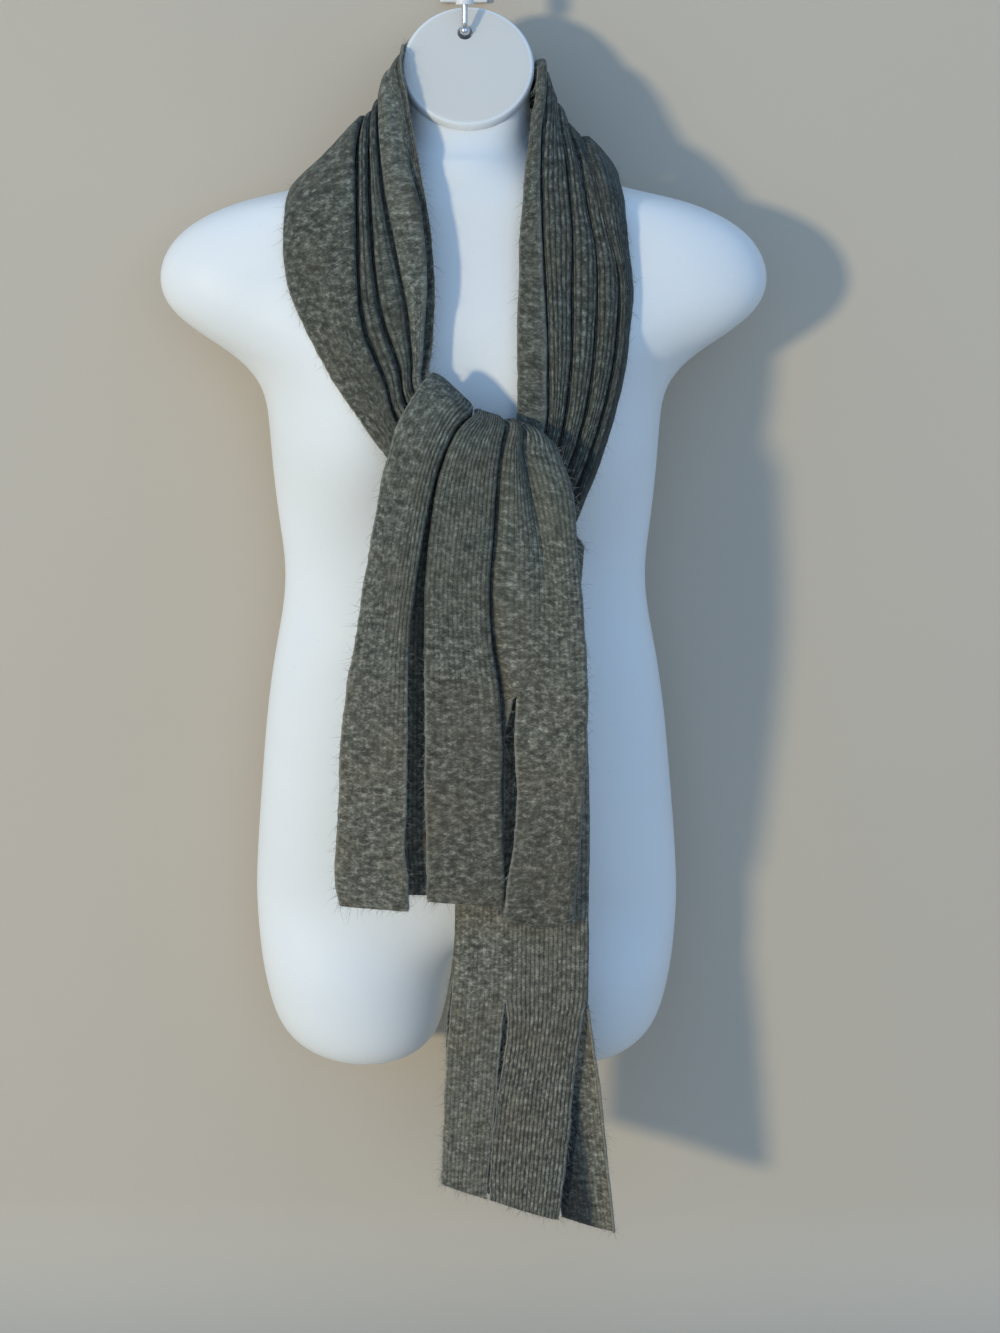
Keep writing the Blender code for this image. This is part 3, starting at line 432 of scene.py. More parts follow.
def wool_material():
    """Make the heather grey rib knit, felted where the rib mark is low.

    The knit map holds the place in the unrolled cloth in metres. Its colour
    attribute holds the strength of the ribs, a painted light or shade tint and the
    paleness of raw edges together with a painted highlight along turned fold edges.
    """
    w = Wiring("wool_knit")
    knit = w.add("ShaderNodeUVMap", uv_map="knit").outputs[0]
    across, along, _ = w.split(knit)
    ribs_shade_and_edges = w.add("ShaderNodeAttribute", attribute_name="ribs_shade_and_edges").outputs["Color"]
    rib, painted_light, pale = w.split(ribs_shade_and_edges, "Color")

    shifted = w.math("MULTIPLY_ADD", w.noise(knit, 70.0, 1.0), RIB_WANDER, across)
    wave = w.math("SINE", w.times(shifted, math.pi / (RIB_PITCH * MM)))
    ridge = w.math("POWER", w.math("ABSOLUTE", wave), 0.7)
    loops = w.math("ABSOLUTE", w.math("SINE", w.times(along, math.pi / (STITCH * MM))))

    felt = w.noise(w.stretched(knit, 0.95, 1.12), 235.0, 3.5, 0.62)
    drawn = w.noise(w.stretched(knit, 1.3, 0.6), 330.0, 3.0, 0.6)
    speck = w.noise(w.stretched(knit, 0.8, 1.5), 800.0, 2.0, 0.6)
    grit = w.noise(w.stretched(knit, 1.0, 1.2), 120.0, 2.0, 0.5)
    ribbed = w.times(w.ramp(rib, 0.35, 0.85), w.math("SUBTRACT", drawn, felt))
    fleck = w.math("ADD", ribbed, felt)

    cloud = w.ramp(w.noise(knit, 75.0, 3.0, 0.6), 0.34, 0.66)
    colour = w.blend(cloud, GROUND_DARK, GROUND_LIGHT)
    strong = w.ramp(rib, 0.2, 0.8, 0.72, 0.7)
    colour = w.blend(w.times(w.ramp(fleck, 0.50, 0.70), strong), colour, FLECK_LIGHT)
    colour = w.blend(w.times(w.ramp(fleck, 0.50, 0.32), strong), colour, FLECK_DARK)
    colour = w.tinted(colour, [w.ramp(speck, 0.3, 0.7, 0.5, 1.5)] * 3)
    brown = w.ramp(w.noise(knit, 16.0, 3.0, 0.55), 0.42, 0.62)
    colour = w.blend(w.times(brown, 0.25), colour, BROWN_PATCH)
    # Painted shade darkens the valleys between ribs
    valley = w.times(w.math("SUBTRACT", 1.0, ridge), rib)
    colour = w.blend(w.times(valley, 0.8), colour, RIB_GROOVE_SHADE)
    # Painted light and shade: each point's painted tint darkens or lightens the colour, turns it
    # bluer where the painted shade is deep, and warmer towards the bottom
    deep = w.ramp(painted_light, 0.76, 0.5)
    low = w.ramp(w.split(w.place)[2], -0.38, -0.58)
    painted_light = w.times(painted_light, w.ramp(grit, 0.3, 0.7, 0.77, 1.28))
    shade = [w.times(painted_light, w.times(w.scaled(deep, change), w.scaled(low, warmth)))
             for change, warmth in zip(BLUE_OF_FOLD_SHADE, WARM_BELOW)]
    # Pale raw edges, and a painted highlight along turned fold edges
    colour = w.blend(w.times(pale, 0.7), w.tinted(colour, shade), PALE_EDGE_AND_HIGHLIGHT)

    normal = w.bump(w.times(ridge, rib), 0.0011, 0.9)
    normal = w.bump(w.times(loops, ridge), 0.0003, 0.5, normal)
    normal = w.bump(fleck, 0.0006, 0.7, normal)
    normal = w.bump(speck, 0.0004, 0.6, normal)
    return w.finished({
        "Base Color": colour, "Normal": normal, "Roughness": 0.95,
        "Specular IOR Level": 0.15, "Sheen Weight": 0.10, "Sheen Roughness": 0.55,
        "Sheen Tint": (0.85, 0.87, 0.85, 1),
    })


def hair_material():
    """Make the loose fibres, paler than the cloth."""
    w = Wiring("wool_fibre")
    colour = w.mottled(220.0, 2.0, 0.35, 0.65, (0.10, 0.10, 0.09, 1), (0.36, 0.35, 0.31, 1))
    return w.finished({"Base Color": colour, "Roughness": 0.8})


def neck_way():
    """Return the direction that the neck disc faces."""
    tilt = math.radians(NECK_TILT)
    return Vector((0, -math.sin(tilt), math.cos(tilt)))


def plastic_material():
    """Make the form's satin white moulded plastic, with painted shade greying the neck disc."""
    w = Wiring("white_plastic")
    colour = w.mottled(7.0, 3.0, 0.35, 0.65, (0.79, 0.82, 0.845, 1), (0.82, 0.85, 0.875, 1))
    dirt = w.ramp(w.noise(w.place, 900.0, 1.0, 0.4), 0.74, 0.80, 0.0, 0.5)
    colour = w.blend(dirt, colour, (0.45, 0.45, 0.45, 1))
    # Painted shade: the neck disc's face, turned up and forward, is greyed
    way = w.add("ShaderNodeNewGeometry").outputs["Normal"]
    facing = w.wired("ShaderNodeVectorMath", "Value", (way, neck_way()),
                     operation="DOT_PRODUCT")
    disc_shade_mask = w.times(w.ramp(facing, 0.970, 0.998), w.ramp(w.split(w.place)[2], -0.112, -0.104))
    colour = w.blend(disc_shade_mask, colour, (0.70, 0.68, 0.645, 1))
    rough = w.ramp(w.noise(w.place, 26.0, 4.0, 0.6), 0.3, 0.7, 0.46, 0.58)
    normal = w.bump(w.noise(w.place, 18.0), 0.004, 0.08)
    normal = w.bump(w.noise(w.place, 1400.0), 0.0001, 0.12, normal)
    return w.finished({"Base Color": colour, "Roughness": rough, "Normal": normal,
                       "Specular IOR Level": 0.38})


def plate_material():
    w = Wiring("plate_plastic")
    colour = w.mottled(60.0, 3.0, 0.3, 0.7, (0.74, 0.75, 0.76, 1), (0.80, 0.81, 0.82, 1))
    rough = w.ramp(w.noise(w.place, 300.0), 0.3, 0.7, 0.34, 0.48)
    normal = w.bump(w.noise(w.place, 1200.0), 0.0001, 0.2)
    return w.finished({"Base Color": colour, "Roughness": rough, "Normal": normal})


def steel_material():
    w = Wiring("bright_steel")
    colour = w.mottled(400.0, 2.0, 0.4, 0.7, (0.75, 0.75, 0.76, 1), (0.58, 0.58, 0.60, 1))
    rough = w.ramp(w.noise(w.place, 700.0, 3.0), 0.3, 0.7, 0.14, 0.32)
    return w.finished({"Base Color": colour, "Metallic": 1.0, "Roughness": rough})


def rounded(value, full):
    """Return a sine or cosine bent towards a squarer ring."""
    return math.copysign(abs(value) ** full, value)


def bust(x, z):
    """Return how far the bust stands out of the chest at a point."""
    reach = BUST_ABOVE if z > BUST_Z else BUST_BELOW
    side = BUST_SIDE if abs(x) < BUST_X else BUST_OUTER
    away = ((abs(x) - BUST_X) / side) ** 2 + ((z - BUST_Z) / reach) ** 2
    power = mixed(BUST_SOFT, BUST_FIRM, smooth(abs(x), 55.0, 100.0))
    return BUST_HEIGHT * max(0.0, 1 - away) ** power


def torso_ring(ring):
    """Return the points of one torso ring, round and then tilted forward."""
    tilt = math.radians(ring.tilt)
    points = []
    for i in range(RING_POINTS):
        angle = 2 * math.pi * i / RING_POINTS
        x = ring.half * rounded(math.cos(angle), ring.full)
        side = rounded(math.sin(angle), ring.full)
        depth = ring.back * side if side > 0 else ring.front * side
        if side < 0:
            depth -= bust(x, ring.z) * min(1.0, -3 * side)
        x += NECK_SHIFT * smooth(ring.z, -140.0, -90.0)
        points.append((x, ring.y + depth * math.cos(tilt), ring.z + depth * math.sin(tilt)))
    return points


def leg_ring(ring, side):
    """Return one ring of a thigh stump, from front middle round the outside.

    The first points follow the hip's half ring and the last ones the crotch.
    """
    outer = RING_POINTS // 2 + 1
    turns = steps(-LEG_TURN, LEG_TURN, outer)
    turns += steps(LEG_TURN, 360 - LEG_TURN, CROTCH_POINTS + 2)[1:-1]
    placed = []
    for degrees in turns:
        angle = math.radians(degrees)
        turn = math.sin(angle)
        depth = turn * (ring.back if turn > 0 else ring.front)
        placed.append((side * (ring.x + ring.half * math.cos(angle)), BODY_Y + depth, ring.z))
    return placed


def form_mesh():
    """Skin the torso, the crotch and both thigh stumps as one closed body."""
    points = []
    faces = []

    def add(ring):
        points.extend(tuple(p * MM for p in point) for point in ring)
        return list(range(len(points) - len(ring), len(points)))

    def skin(upper, lower, flip=False):
        for i in range(len(upper)):
            j = (i + 1) % len(upper)
            face = (upper[j], upper[i], lower[i], lower[j])
            faces.append(face[::-1] if flip else face)

    rings = [add(torso_ring(ring)) for ring in TORSO]
    faces.append(tuple(rings[0]))
    for upper, lower in zip(rings, rings[1:]):
        skin(upper, lower)
    hip = rings[-1]
    quarter = RING_POINTS // 4
    arch = []
    for degrees in steps(0, 180, CROTCH_POINTS + 2)[1:-1]:
        angle = math.radians(degrees)
        arch.append((0.0, CROTCH_Y - CROTCH_REACH * math.cos(angle),
                     CROTCH_Z + CROTCH_RISE * (1 - math.sin(angle))))
    crotch = add(arch[::-1])
    for side in (1, -1):
        half = [hip[(side * i) % RING_POINTS] for i in range(-quarter, quarter + 1)]
        if side < 0:
            half = [hip[(2 * quarter - i) % RING_POINTS] for i in range(-quarter, quarter + 1)]
        upper = half + crotch
        for ring in THIGH:
            lower = add(leg_ring(ring, side))
            skin(upper, lower, flip=side < 0)
            upper = lower
        end = tuple(reversed(upper))
        faces.append(end[::-1] if side < 0 else end)
    mesh = new_mesh("form", points, faces)
    mesh.validate()
    return mesh


def fold_points(lap, tuck):
    """Return one pleat's turn as (across, out), from the outer to the inner side.

    The upper panel ends at 0, turns under it, runs back by the tuck, and the
    next panel starts there, comes out and rises. Near lap 0 it is a groove.
    """
    tuck = max(1.0, tuck * abs(lap))
    over = [(0, PLEAT), (0, PLEAT - LAYER), (-tuck, PLEAT - LAYER), (-tuck, 0), (GROOVE, 0),
            (RISE, PLEAT)]
    groove = [(-4.5, PLEAT), (-3.2, PLEAT / 2), (-2.2, 0.5), (2.2, 0.5), (3.2, PLEAT / 2),
              (4.5, PLEAT)]
    if lap < 0:
        over = [(-x, v) for x, v in reversed(over)]
    share = smooth(abs(lap), 0, 0.7)
    return [(mixed(g[0], o[0], share), mixed(g[1], o[1], share)) for g, o in zip(groove, over)]


def collar_point(at, share):
    """Return the middle of the collar's base at a row and share of its width."""
    section = spline(COLLAR, at)
    return Vector(section[:3]).lerp(Vector(section[3:6]), share)


def bend_basis(lengths, count):
    """Return sample places along a control line and their blending weights.

    The line is a quadratic B-spline through count points, with one extra
    point before and after it.
    """
    places = []
    for j, length in enumerate(lengths):
        number = max(2, int(round(length / SPACING)))
        places += [j + i / number for i in range(number)]
    places.append(count - 1.0)
    basis = np.zeros((len(places), count + 2))
    for row, t in enumerate(places):
        middle = min(int(t + 0.5), count - 1)
        s = t - (middle - 0.5)
        basis[row, middle] = 0.5 * (1 - s) ** 2
        basis[row, middle + 1] = 0.5 + s - s * s
        basis[row, middle + 2] = 0.5 * s * s
    return basis


def rounded_strips(strips, cuts):
    """Round the control lines of strips, joined across a seam above its cut.

    strips is a list of arrays, rows by points by values, whose first three
    values are the place in millimetres. Returns the rounded arrays.
    """
    fine = []
    for k, strip in enumerate(strips):
        rows, count, _ = strip.shape
        lengths = np.linalg.norm(np.diff(strip[:, :, :3], axis=1), axis=2).mean(axis=0)
        basis = bend_basis(lengths, count)
        before = 2 * strip[:, 0] - strip[:, 1]
        after = 2 * strip[:, -1] - strip[:, -2]
        if k > 0:
            joined = min(cuts[k - 1] + 1, rows)
            before[:joined] = strips[k - 1][:joined, -2]
        if k < len(strips) - 1:
            joined = min(cuts[k] + 1, rows)
            after[:joined] = strips[k + 1][:joined, 1]
        extended = np.concatenate([before[:, None], strip, after[:, None]], axis=1)
        fine.append(np.einsum("mn,rnc->rmc", basis, extended))
    return fine


def roughen(fine, cuts, seed):
    """Give each strip soft unevenness and each free edge a torn line."""
    for k, strip in enumerate(fine):
        rows, count, _ = strip.shape
        place = strip[:, :, :3]
        lengthwise = np.gradient(place, axis=0)
        across = np.gradient(place, axis=1)
        out = np.cross(across, lengthwise)
        out /= np.maximum(np.linalg.norm(out, axis=2, keepdims=True), 1e-6)
        across /= np.maximum(np.linalg.norm(across, axis=2, keepdims=True), 1e-6)
        first_free = 0 if k == 0 else cuts[k - 1] + 1
        last_free = 0 if k == len(fine) - 1 else cuts[k] + 1
        lift = np.zeros((rows, count))
        for r in range(rows):
            for c in range(count):
                p = Vector(place[r, c])
                lift[r, c] = (0.8 * noise.noise(p / 34 + Vector((seed, 0, 0)))
                              + 0.35 * noise.noise(p / 11 + Vector((0, seed, 0))))
        place += lift[:, :, None] * out
        for r in range(rows):
            for column, free, way in ((0, first_free, 1), (count - 1, last_free, -1)):
                if r < free:
                    continue
                p = Vector((r * 0.9, seed * 7 + column, k))
                torn = 0.8 * noise.noise(p) + 0.9 * noise.noise(p * 0.2)
                place[r, column] += torn * across[r, column]
                place[r, column + way] += 0.5 * torn * across[r, column]
                strip[r, column, PALE] = max(strip[r, column, PALE], EDGE_PALE)
    return fine


def lay_cloth(name, fine, cuts, material):
    """Skin rounded strips of rows into one wall with its maps."""
    points = []
    values = []
    faces = []
    shared = []
    for number, strip in enumerate(fine):
        rows, count, _ = strip.shape
        ids = np.zeros((rows, count), int)
        for i in range(rows):
            for k in range(count):
                if k == 0 and number and i <= cuts[number - 1]:
                    ids[i, k] = shared[i]
                else:
                    ids[i, k] = len(points)
                    points.append(tuple(strip[i, k, :3] * MM))
                    values.append(strip[i, k, 3:])
        shared = ids[:, -1]
        for i in range(rows - 1):
            for k in range(count - 1):
                faces.append((ids[i, k], ids[i + 1, k], ids[i + 1, k + 1], ids[i, k + 1]))
    mesh = new_mesh(name, points, [tuple(int(v) for v in face) for face in faces])
    knit = mesh.uv_layers.new(name="knit")
    ribs_shade_and_edges = mesh.color_attributes.new("ribs_shade_and_edges", "FLOAT_COLOR", "POINT")
    values = np.array(values)
    corners = np.zeros(len(mesh.loops), np.int32)
    mesh.loops.foreach_get("vertex_index", corners)
    knit.data.foreach_set("uv", (values[corners][:, 3:5] * MM).ravel())
    colours = np.ones((len(values), 4))
    colours[:, :3] = np.clip(values[:, :3], 0, 2)
    ribs_shade_and_edges.data.foreach_set("color", colours.ravel())
    piece = add_object(name, mesh, material)
    wall = piece.modifiers.new("wall", "SOLIDIFY")
    wall.thickness = WALL * MM
    wall.offset = 0.0
    wall.use_even_offset = False
    return piece


def finish_cloth(name, strips, cuts, seed, material):
    """Round, roughen and skin the strips of one piece.

    Each control point holds x, y, z, rib, a painted light or shade tint, and pale. The place in the
    unrolled cloth is added here from the lengths along the lines.
    """
    fine = rounded_strips([np.array(strip, float) for strip in strips], cuts)
    line = np.concatenate([strip[:, :, :3] for strip in fine], axis=1).mean(axis=1)
    travel = np.gradient(line, axis=0)
    travel = np.array([travel[max(r - TRAVEL_REACH, 0):r + TRAVEL_REACH + 1].mean(axis=0)
                       for r in range(len(line))])
    travel /= np.linalg.norm(travel, axis=1, keepdims=True)
    run = (np.diff(line, axis=0) * (travel[:-1] + travel[1:]) / 2).sum(axis=1)
    run = np.concatenate([[0.0], np.cumsum(run)])
    start = 0.0
    for k, strip in enumerate(fine):
        across = np.linalg.norm(np.diff(strip[:, :, :3], axis=1), axis=2).mean(axis=0)
        u = start + np.concatenate([[0.0], np.cumsum(across)])
        start = u[-1]
        maps = np.zeros(strip.shape[:2] + (2,))
        maps[:, :, 0] = u[None, :] + KNIT_SHIFT[0] * seed
        ahead = np.einsum("rcn,rn->rc", strip[:, :, :3] - line[:, None], travel)
        maps[:, :, 1] = run[:, None] + ahead + KNIT_SHIFT[1] * seed
        fine[k] = np.concatenate([strip, maps], axis=2)
    return lay_cloth(name, roughen(fine, cuts, seed), cuts, material)


def spot_on(point, panel):
    """Return one control point's values from its place and its panel."""
    pale = panel[2] if len(panel) > 2 else 0.0
    return [*point, *panel[:2], pale]


# Strength of the ribs and painted light or shade of the wound cloth's five panels, from its
# outer to its inner edge: a value under 1 paints shade, over 1 paints light
LEFT_PANELS = [(0.10, 0.82), (0.75, 0.88), (0.70, 0.92), (0.15, 1.10), (0.30, 0.78)]
RIGHT_PANELS = [(0.75, 0.66), (0.95, 0.82), (1.0, 0.92), (1.0, 0.90), (0.15, 0.86)]


def panel_at(at, number):
    """Return a panel's rib and painted light or shade, changing from left to right at the back."""
    share = smooth(at, LEFT_SEAM_ROW, RIGHT_SEAM_ROW)
    left = LEFT_PANELS[number]
    right = RIGHT_PANELS[number]
    return tuple(mixed(a, b, share) for a, b in zip(left, right))


# Least width of the innermost strip at some rows of the wound cloth
ROOM_ROWS = [0.0, 4.5, 6.0, 7.6, 12.6, 14.6, 16.4, 18.0, 24.0]
ROOMS = [8.0, 6.5, 4.2, 1.4, 1.4, 3.0, 3.0, 7.0, 8.0]
# The innermost pleat's edge beside the neck: across and out, from its top
NECK_EDGE = [(-5.0, 5.2), (-3.0, 4.2), (-1.4, 3.1), (-0.2, 2.1), (0.6, 1.3), (1.2, 0.7)]


def pleated_profile(section, width, at):
    """Return the section's line as (across, out, panel, pale), outer to inner.

    A narrow first strip that lies under its neighbour stays low.
    """
    room = float(np.interp(at, ROOM_ROWS, ROOMS))
    folds = [share * width for share in section[-4:]]
    folds[0] = max(folds[0], LEVEL_ROOM)
    folds[-1] = min(folds[-1], width - room)
    low_first = smooth(-section.lap, 0, 0.6) * (1 - smooth(folds[0], LEVEL_ROOM, LOW_ROOM))
    low_last = smooth(section.lap, 0, 0.6) * (1 - smooth(width - folds[-1], LEVEL_ROOM, LOW_ROOM))
    ends = [0.0] + folds + [width]
    edge = EDGE_LEVEL * PLEAT
    line = [(0.0, mixed(edge, 0.5, low_first), 0, 0),
            (min(LEVEL_ROOM, 0.3 * folds[0]), mixed(0.8 * PLEAT, 0.8, low_first), 0, 0)]
    for i, fold in enumerate(folds):
        upper = fold - ends[i] if section.lap > 0 else ends[i + 2] - fold
        turn = fold_points(section.lap, max(1.0, min(TUCK, upper - RISE - 3.0)))
        if i == 0:
            turn[0] = (mixed(turn[0][0], -GROOVE - 1.5, low_first),
                       mixed(turn[0][1], 1.0, low_first))
        if i == len(folds) - 1:
            turn[-1] = (mixed(turn[-1][0], GROOVE + 1.5, low_last),
                        mixed(turn[-1][1], 1.0, low_last))
            narrow = min(1.0, (width - fold) / LEVEL_ROOM)
            turn = [(x * narrow if x > 0 else x, v) for x, v in turn]
            beside = smooth(at, 6.2, 7.6) * (1 - smooth(at, 12.6, 13.4))
            turn = [(mixed(x, n, beside), mixed(v, m, beside))
                    for (x, v), (n, m) in zip(turn, NECK_EDGE)]
        before = line[-1]
        level = mixed(mixed(before[1], PLEAT, 0.8), 1.0, low_first if i == 0 else 0.0)
        crown = CROWN * smooth(upper, 10, 30) * (1 - (low_first if i == 0 else 0.0))
        line.append((mixed(before[0], fold + turn[0][0], 0.5), level + crown, i, 0))
        first_in = min(EDGE_IN, 0.3 * (fold + turn[0][0] - before[0]))
        line.append((fold + turn[0][0] - first_in, mixed(level, turn[0][1], 0.8), i, 0))
        # Painted highlight along the turned edge of the last fold
        pale = [0.0] * 6
        if i == 3 and section.lap > 0:
            pale[0] = 0.6 * (1 - smooth(at, 4.5, 6.5))
        elif i == 3:
            pale[-1] = 0.55
        for k, (x, v) in enumerate(turn):
            line.append((fold + x, v, i if k < 3 else i + 1, pale[k] * min(1, abs(section.lap))))
        nearest = ends[i + 2] - fold - turn[-1][0]
        line.append((fold + turn[-1][0] + min(EDGE_IN, 0.25 * nearest), turn[-1][1], i + 1, 0))
    before = line[-1]
    line.append((mixed(before[0], width, 0.5), before[1], 4, 0))
    line.append((width, min(before[1], edge), 4, 0))
    return line


def collar_row(at):
    """Return one row of points across the wound cloth."""
    section = spline(COLLAR, at)
    outer = collar_point(at, 0)
    inner = collar_point(at, 1)
    last = len(COLLAR) - 1
    ahead = collar_point(min(at + 0.2, last), 0.5) - collar_point(max(at - 0.2, 0), 0.5)
    across = inner - outer
    width = across.length
    across.normalize()
    out = across.cross(ahead).normalized()
    points = []
    for x, v, number, pale in pleated_profile(section, width, at):
        share = x / width
        bow = 4 * section.bow * share * (1 - share)
        place = outer + x * across + (bow + v) * out
        points.append(spot_on(place, panel_at(at, number) + (pale,)))
    return points


def off_form(rows, shape):
    """Move rows out where they need it, with soft ends, to clear the form."""
    need = WALL / 2 + CLEAR
    lifts = np.zeros((len(rows), len(rows[0])))
    ways = np.zeros(lifts.shape + (3,))
    for i, row in enumerate(rows):
        for k, values in enumerate(row):
            point = Vector(values[:3])
            spot, normal, _, _ = shape.find_nearest(point * MM)
            away = (point - spot / MM).dot(normal)
            lifts[i, k] = max(0.0, need - away)
            ways[i, k] = normal
    for axis, reach in enumerate(EASE_REACH):
        for ease in (np.max, np.mean):
            padded = np.pad(lifts, [(reach, reach) if a == axis else (0, 0) for a in (0, 1)],
                            mode="edge")
            shifted = [np.take(padded, range(s, s + lifts.shape[axis]), axis=axis)
                       for s in range(2 * reach + 1)]
            lifts = ease(np.array(shifted), axis=0)
    for row, line, turns in zip(rows, lifts, ways):
        for values, lift, way in zip(row, line, turns):
            for axis in range(3):
                values[axis] += lift * way[axis]
    return rows


def rows_between(start, end, place):
    """Return evenly spaced row places, about one row step apart."""
    probe = [place(at) for at in steps(start, end, 60)]
    length = sum((b - a).length for a, b in zip(probe, probe[1:]))
    return steps(start, end, max(12, int(length / ROW_STEP)))


def hung_strips(table, cross):
    """Return a hung end's row places, and the rows of each of its strips."""

    def middle(at):
        row = spline(table, at)
        return Vector((0, row.y, (row.zl + row.zr) / 2))

    places = rows_between(0.0, len(table) - 1, middle)
    return places, list(zip(*[cross(at) for at in places]))


def build_collar(shape, wool):
    """Make the three stretches of the wound cloth."""
    spans = [("scarf_left", 0.0, LEFT_SEAM_ROW), ("scarf_neck", LEFT_SEAM_ROW, RIGHT_SEAM_ROW),
             ("scarf_right", RIGHT_SEAM_ROW, len(COLLAR) - 1.0)]
    places = []
    counts = []
    for _, start, end in spans:
        span = rows_between(start, end, lambda at: collar_point(at, 0.5))
        places += span
        counts.append(len(span))
    rows = off_form([collar_row(at) for at in places], shape)
    pieces = []
    for seed, ((name, _, _), count) in enumerate(zip(spans, counts)):
        pieces.append(finish_cloth(name, [rows[:count]], [], seed + 1, wool))
        rows = rows[count:]
    return pieces


def build_turn(wool):
    """Make the hidden turn round the right strand."""
    rows = []
    for at in steps(0, len(KNOT_TURN) - 1, 40):
        turn = spline(KNOT_TURN, at)
        lower = Vector(turn[:3])
        upper = Vector(turn[3:])
        # Painted shade darkens the hidden turn
        rows.append([spot_on(lower.lerp(upper, s), (0.5, 0.8)) for s in steps(0, 1, 6)])
    return finish_cloth("scarf_turn", [rows], [], 4, wool)


# Ribs and tint of the short end's strips at its first, middle and last rows
SHORT_RIBS = {
    "first": [0.25, 0.25, 0.22, 0.12, 0.10],
    "first_fold": [0.9, 0.95, 0.65, 0.25, 0.12],
    "second": [0.5, 0.5, 0.5, 0.5, 0.5],
    "third": [0.75, 0.70, 0.45, 0.15, 0.10],
    "fourth": [0.85, 0.75, 0.30, 0.10, 0.12],
}
SLIVER = [38, 38, 38, 38, 38, 38, 38, 38, 38, 37.5, 31, 31.5, 29, 27.5, 26]
SLIT = [38, 38, 38, 38, 38, 38, 38, 38, 38, 39.5, 38.4, 40.6, 37.4, 32.5, 30.5]
SLIVER_LEVEL = 6.0
P2_RISE = 9.0
CREST_SAG = 11.0
SAG_X = 12.0
SAG_REACH = 20.0


def raised(values, rise):
    values[2] += rise
    return values


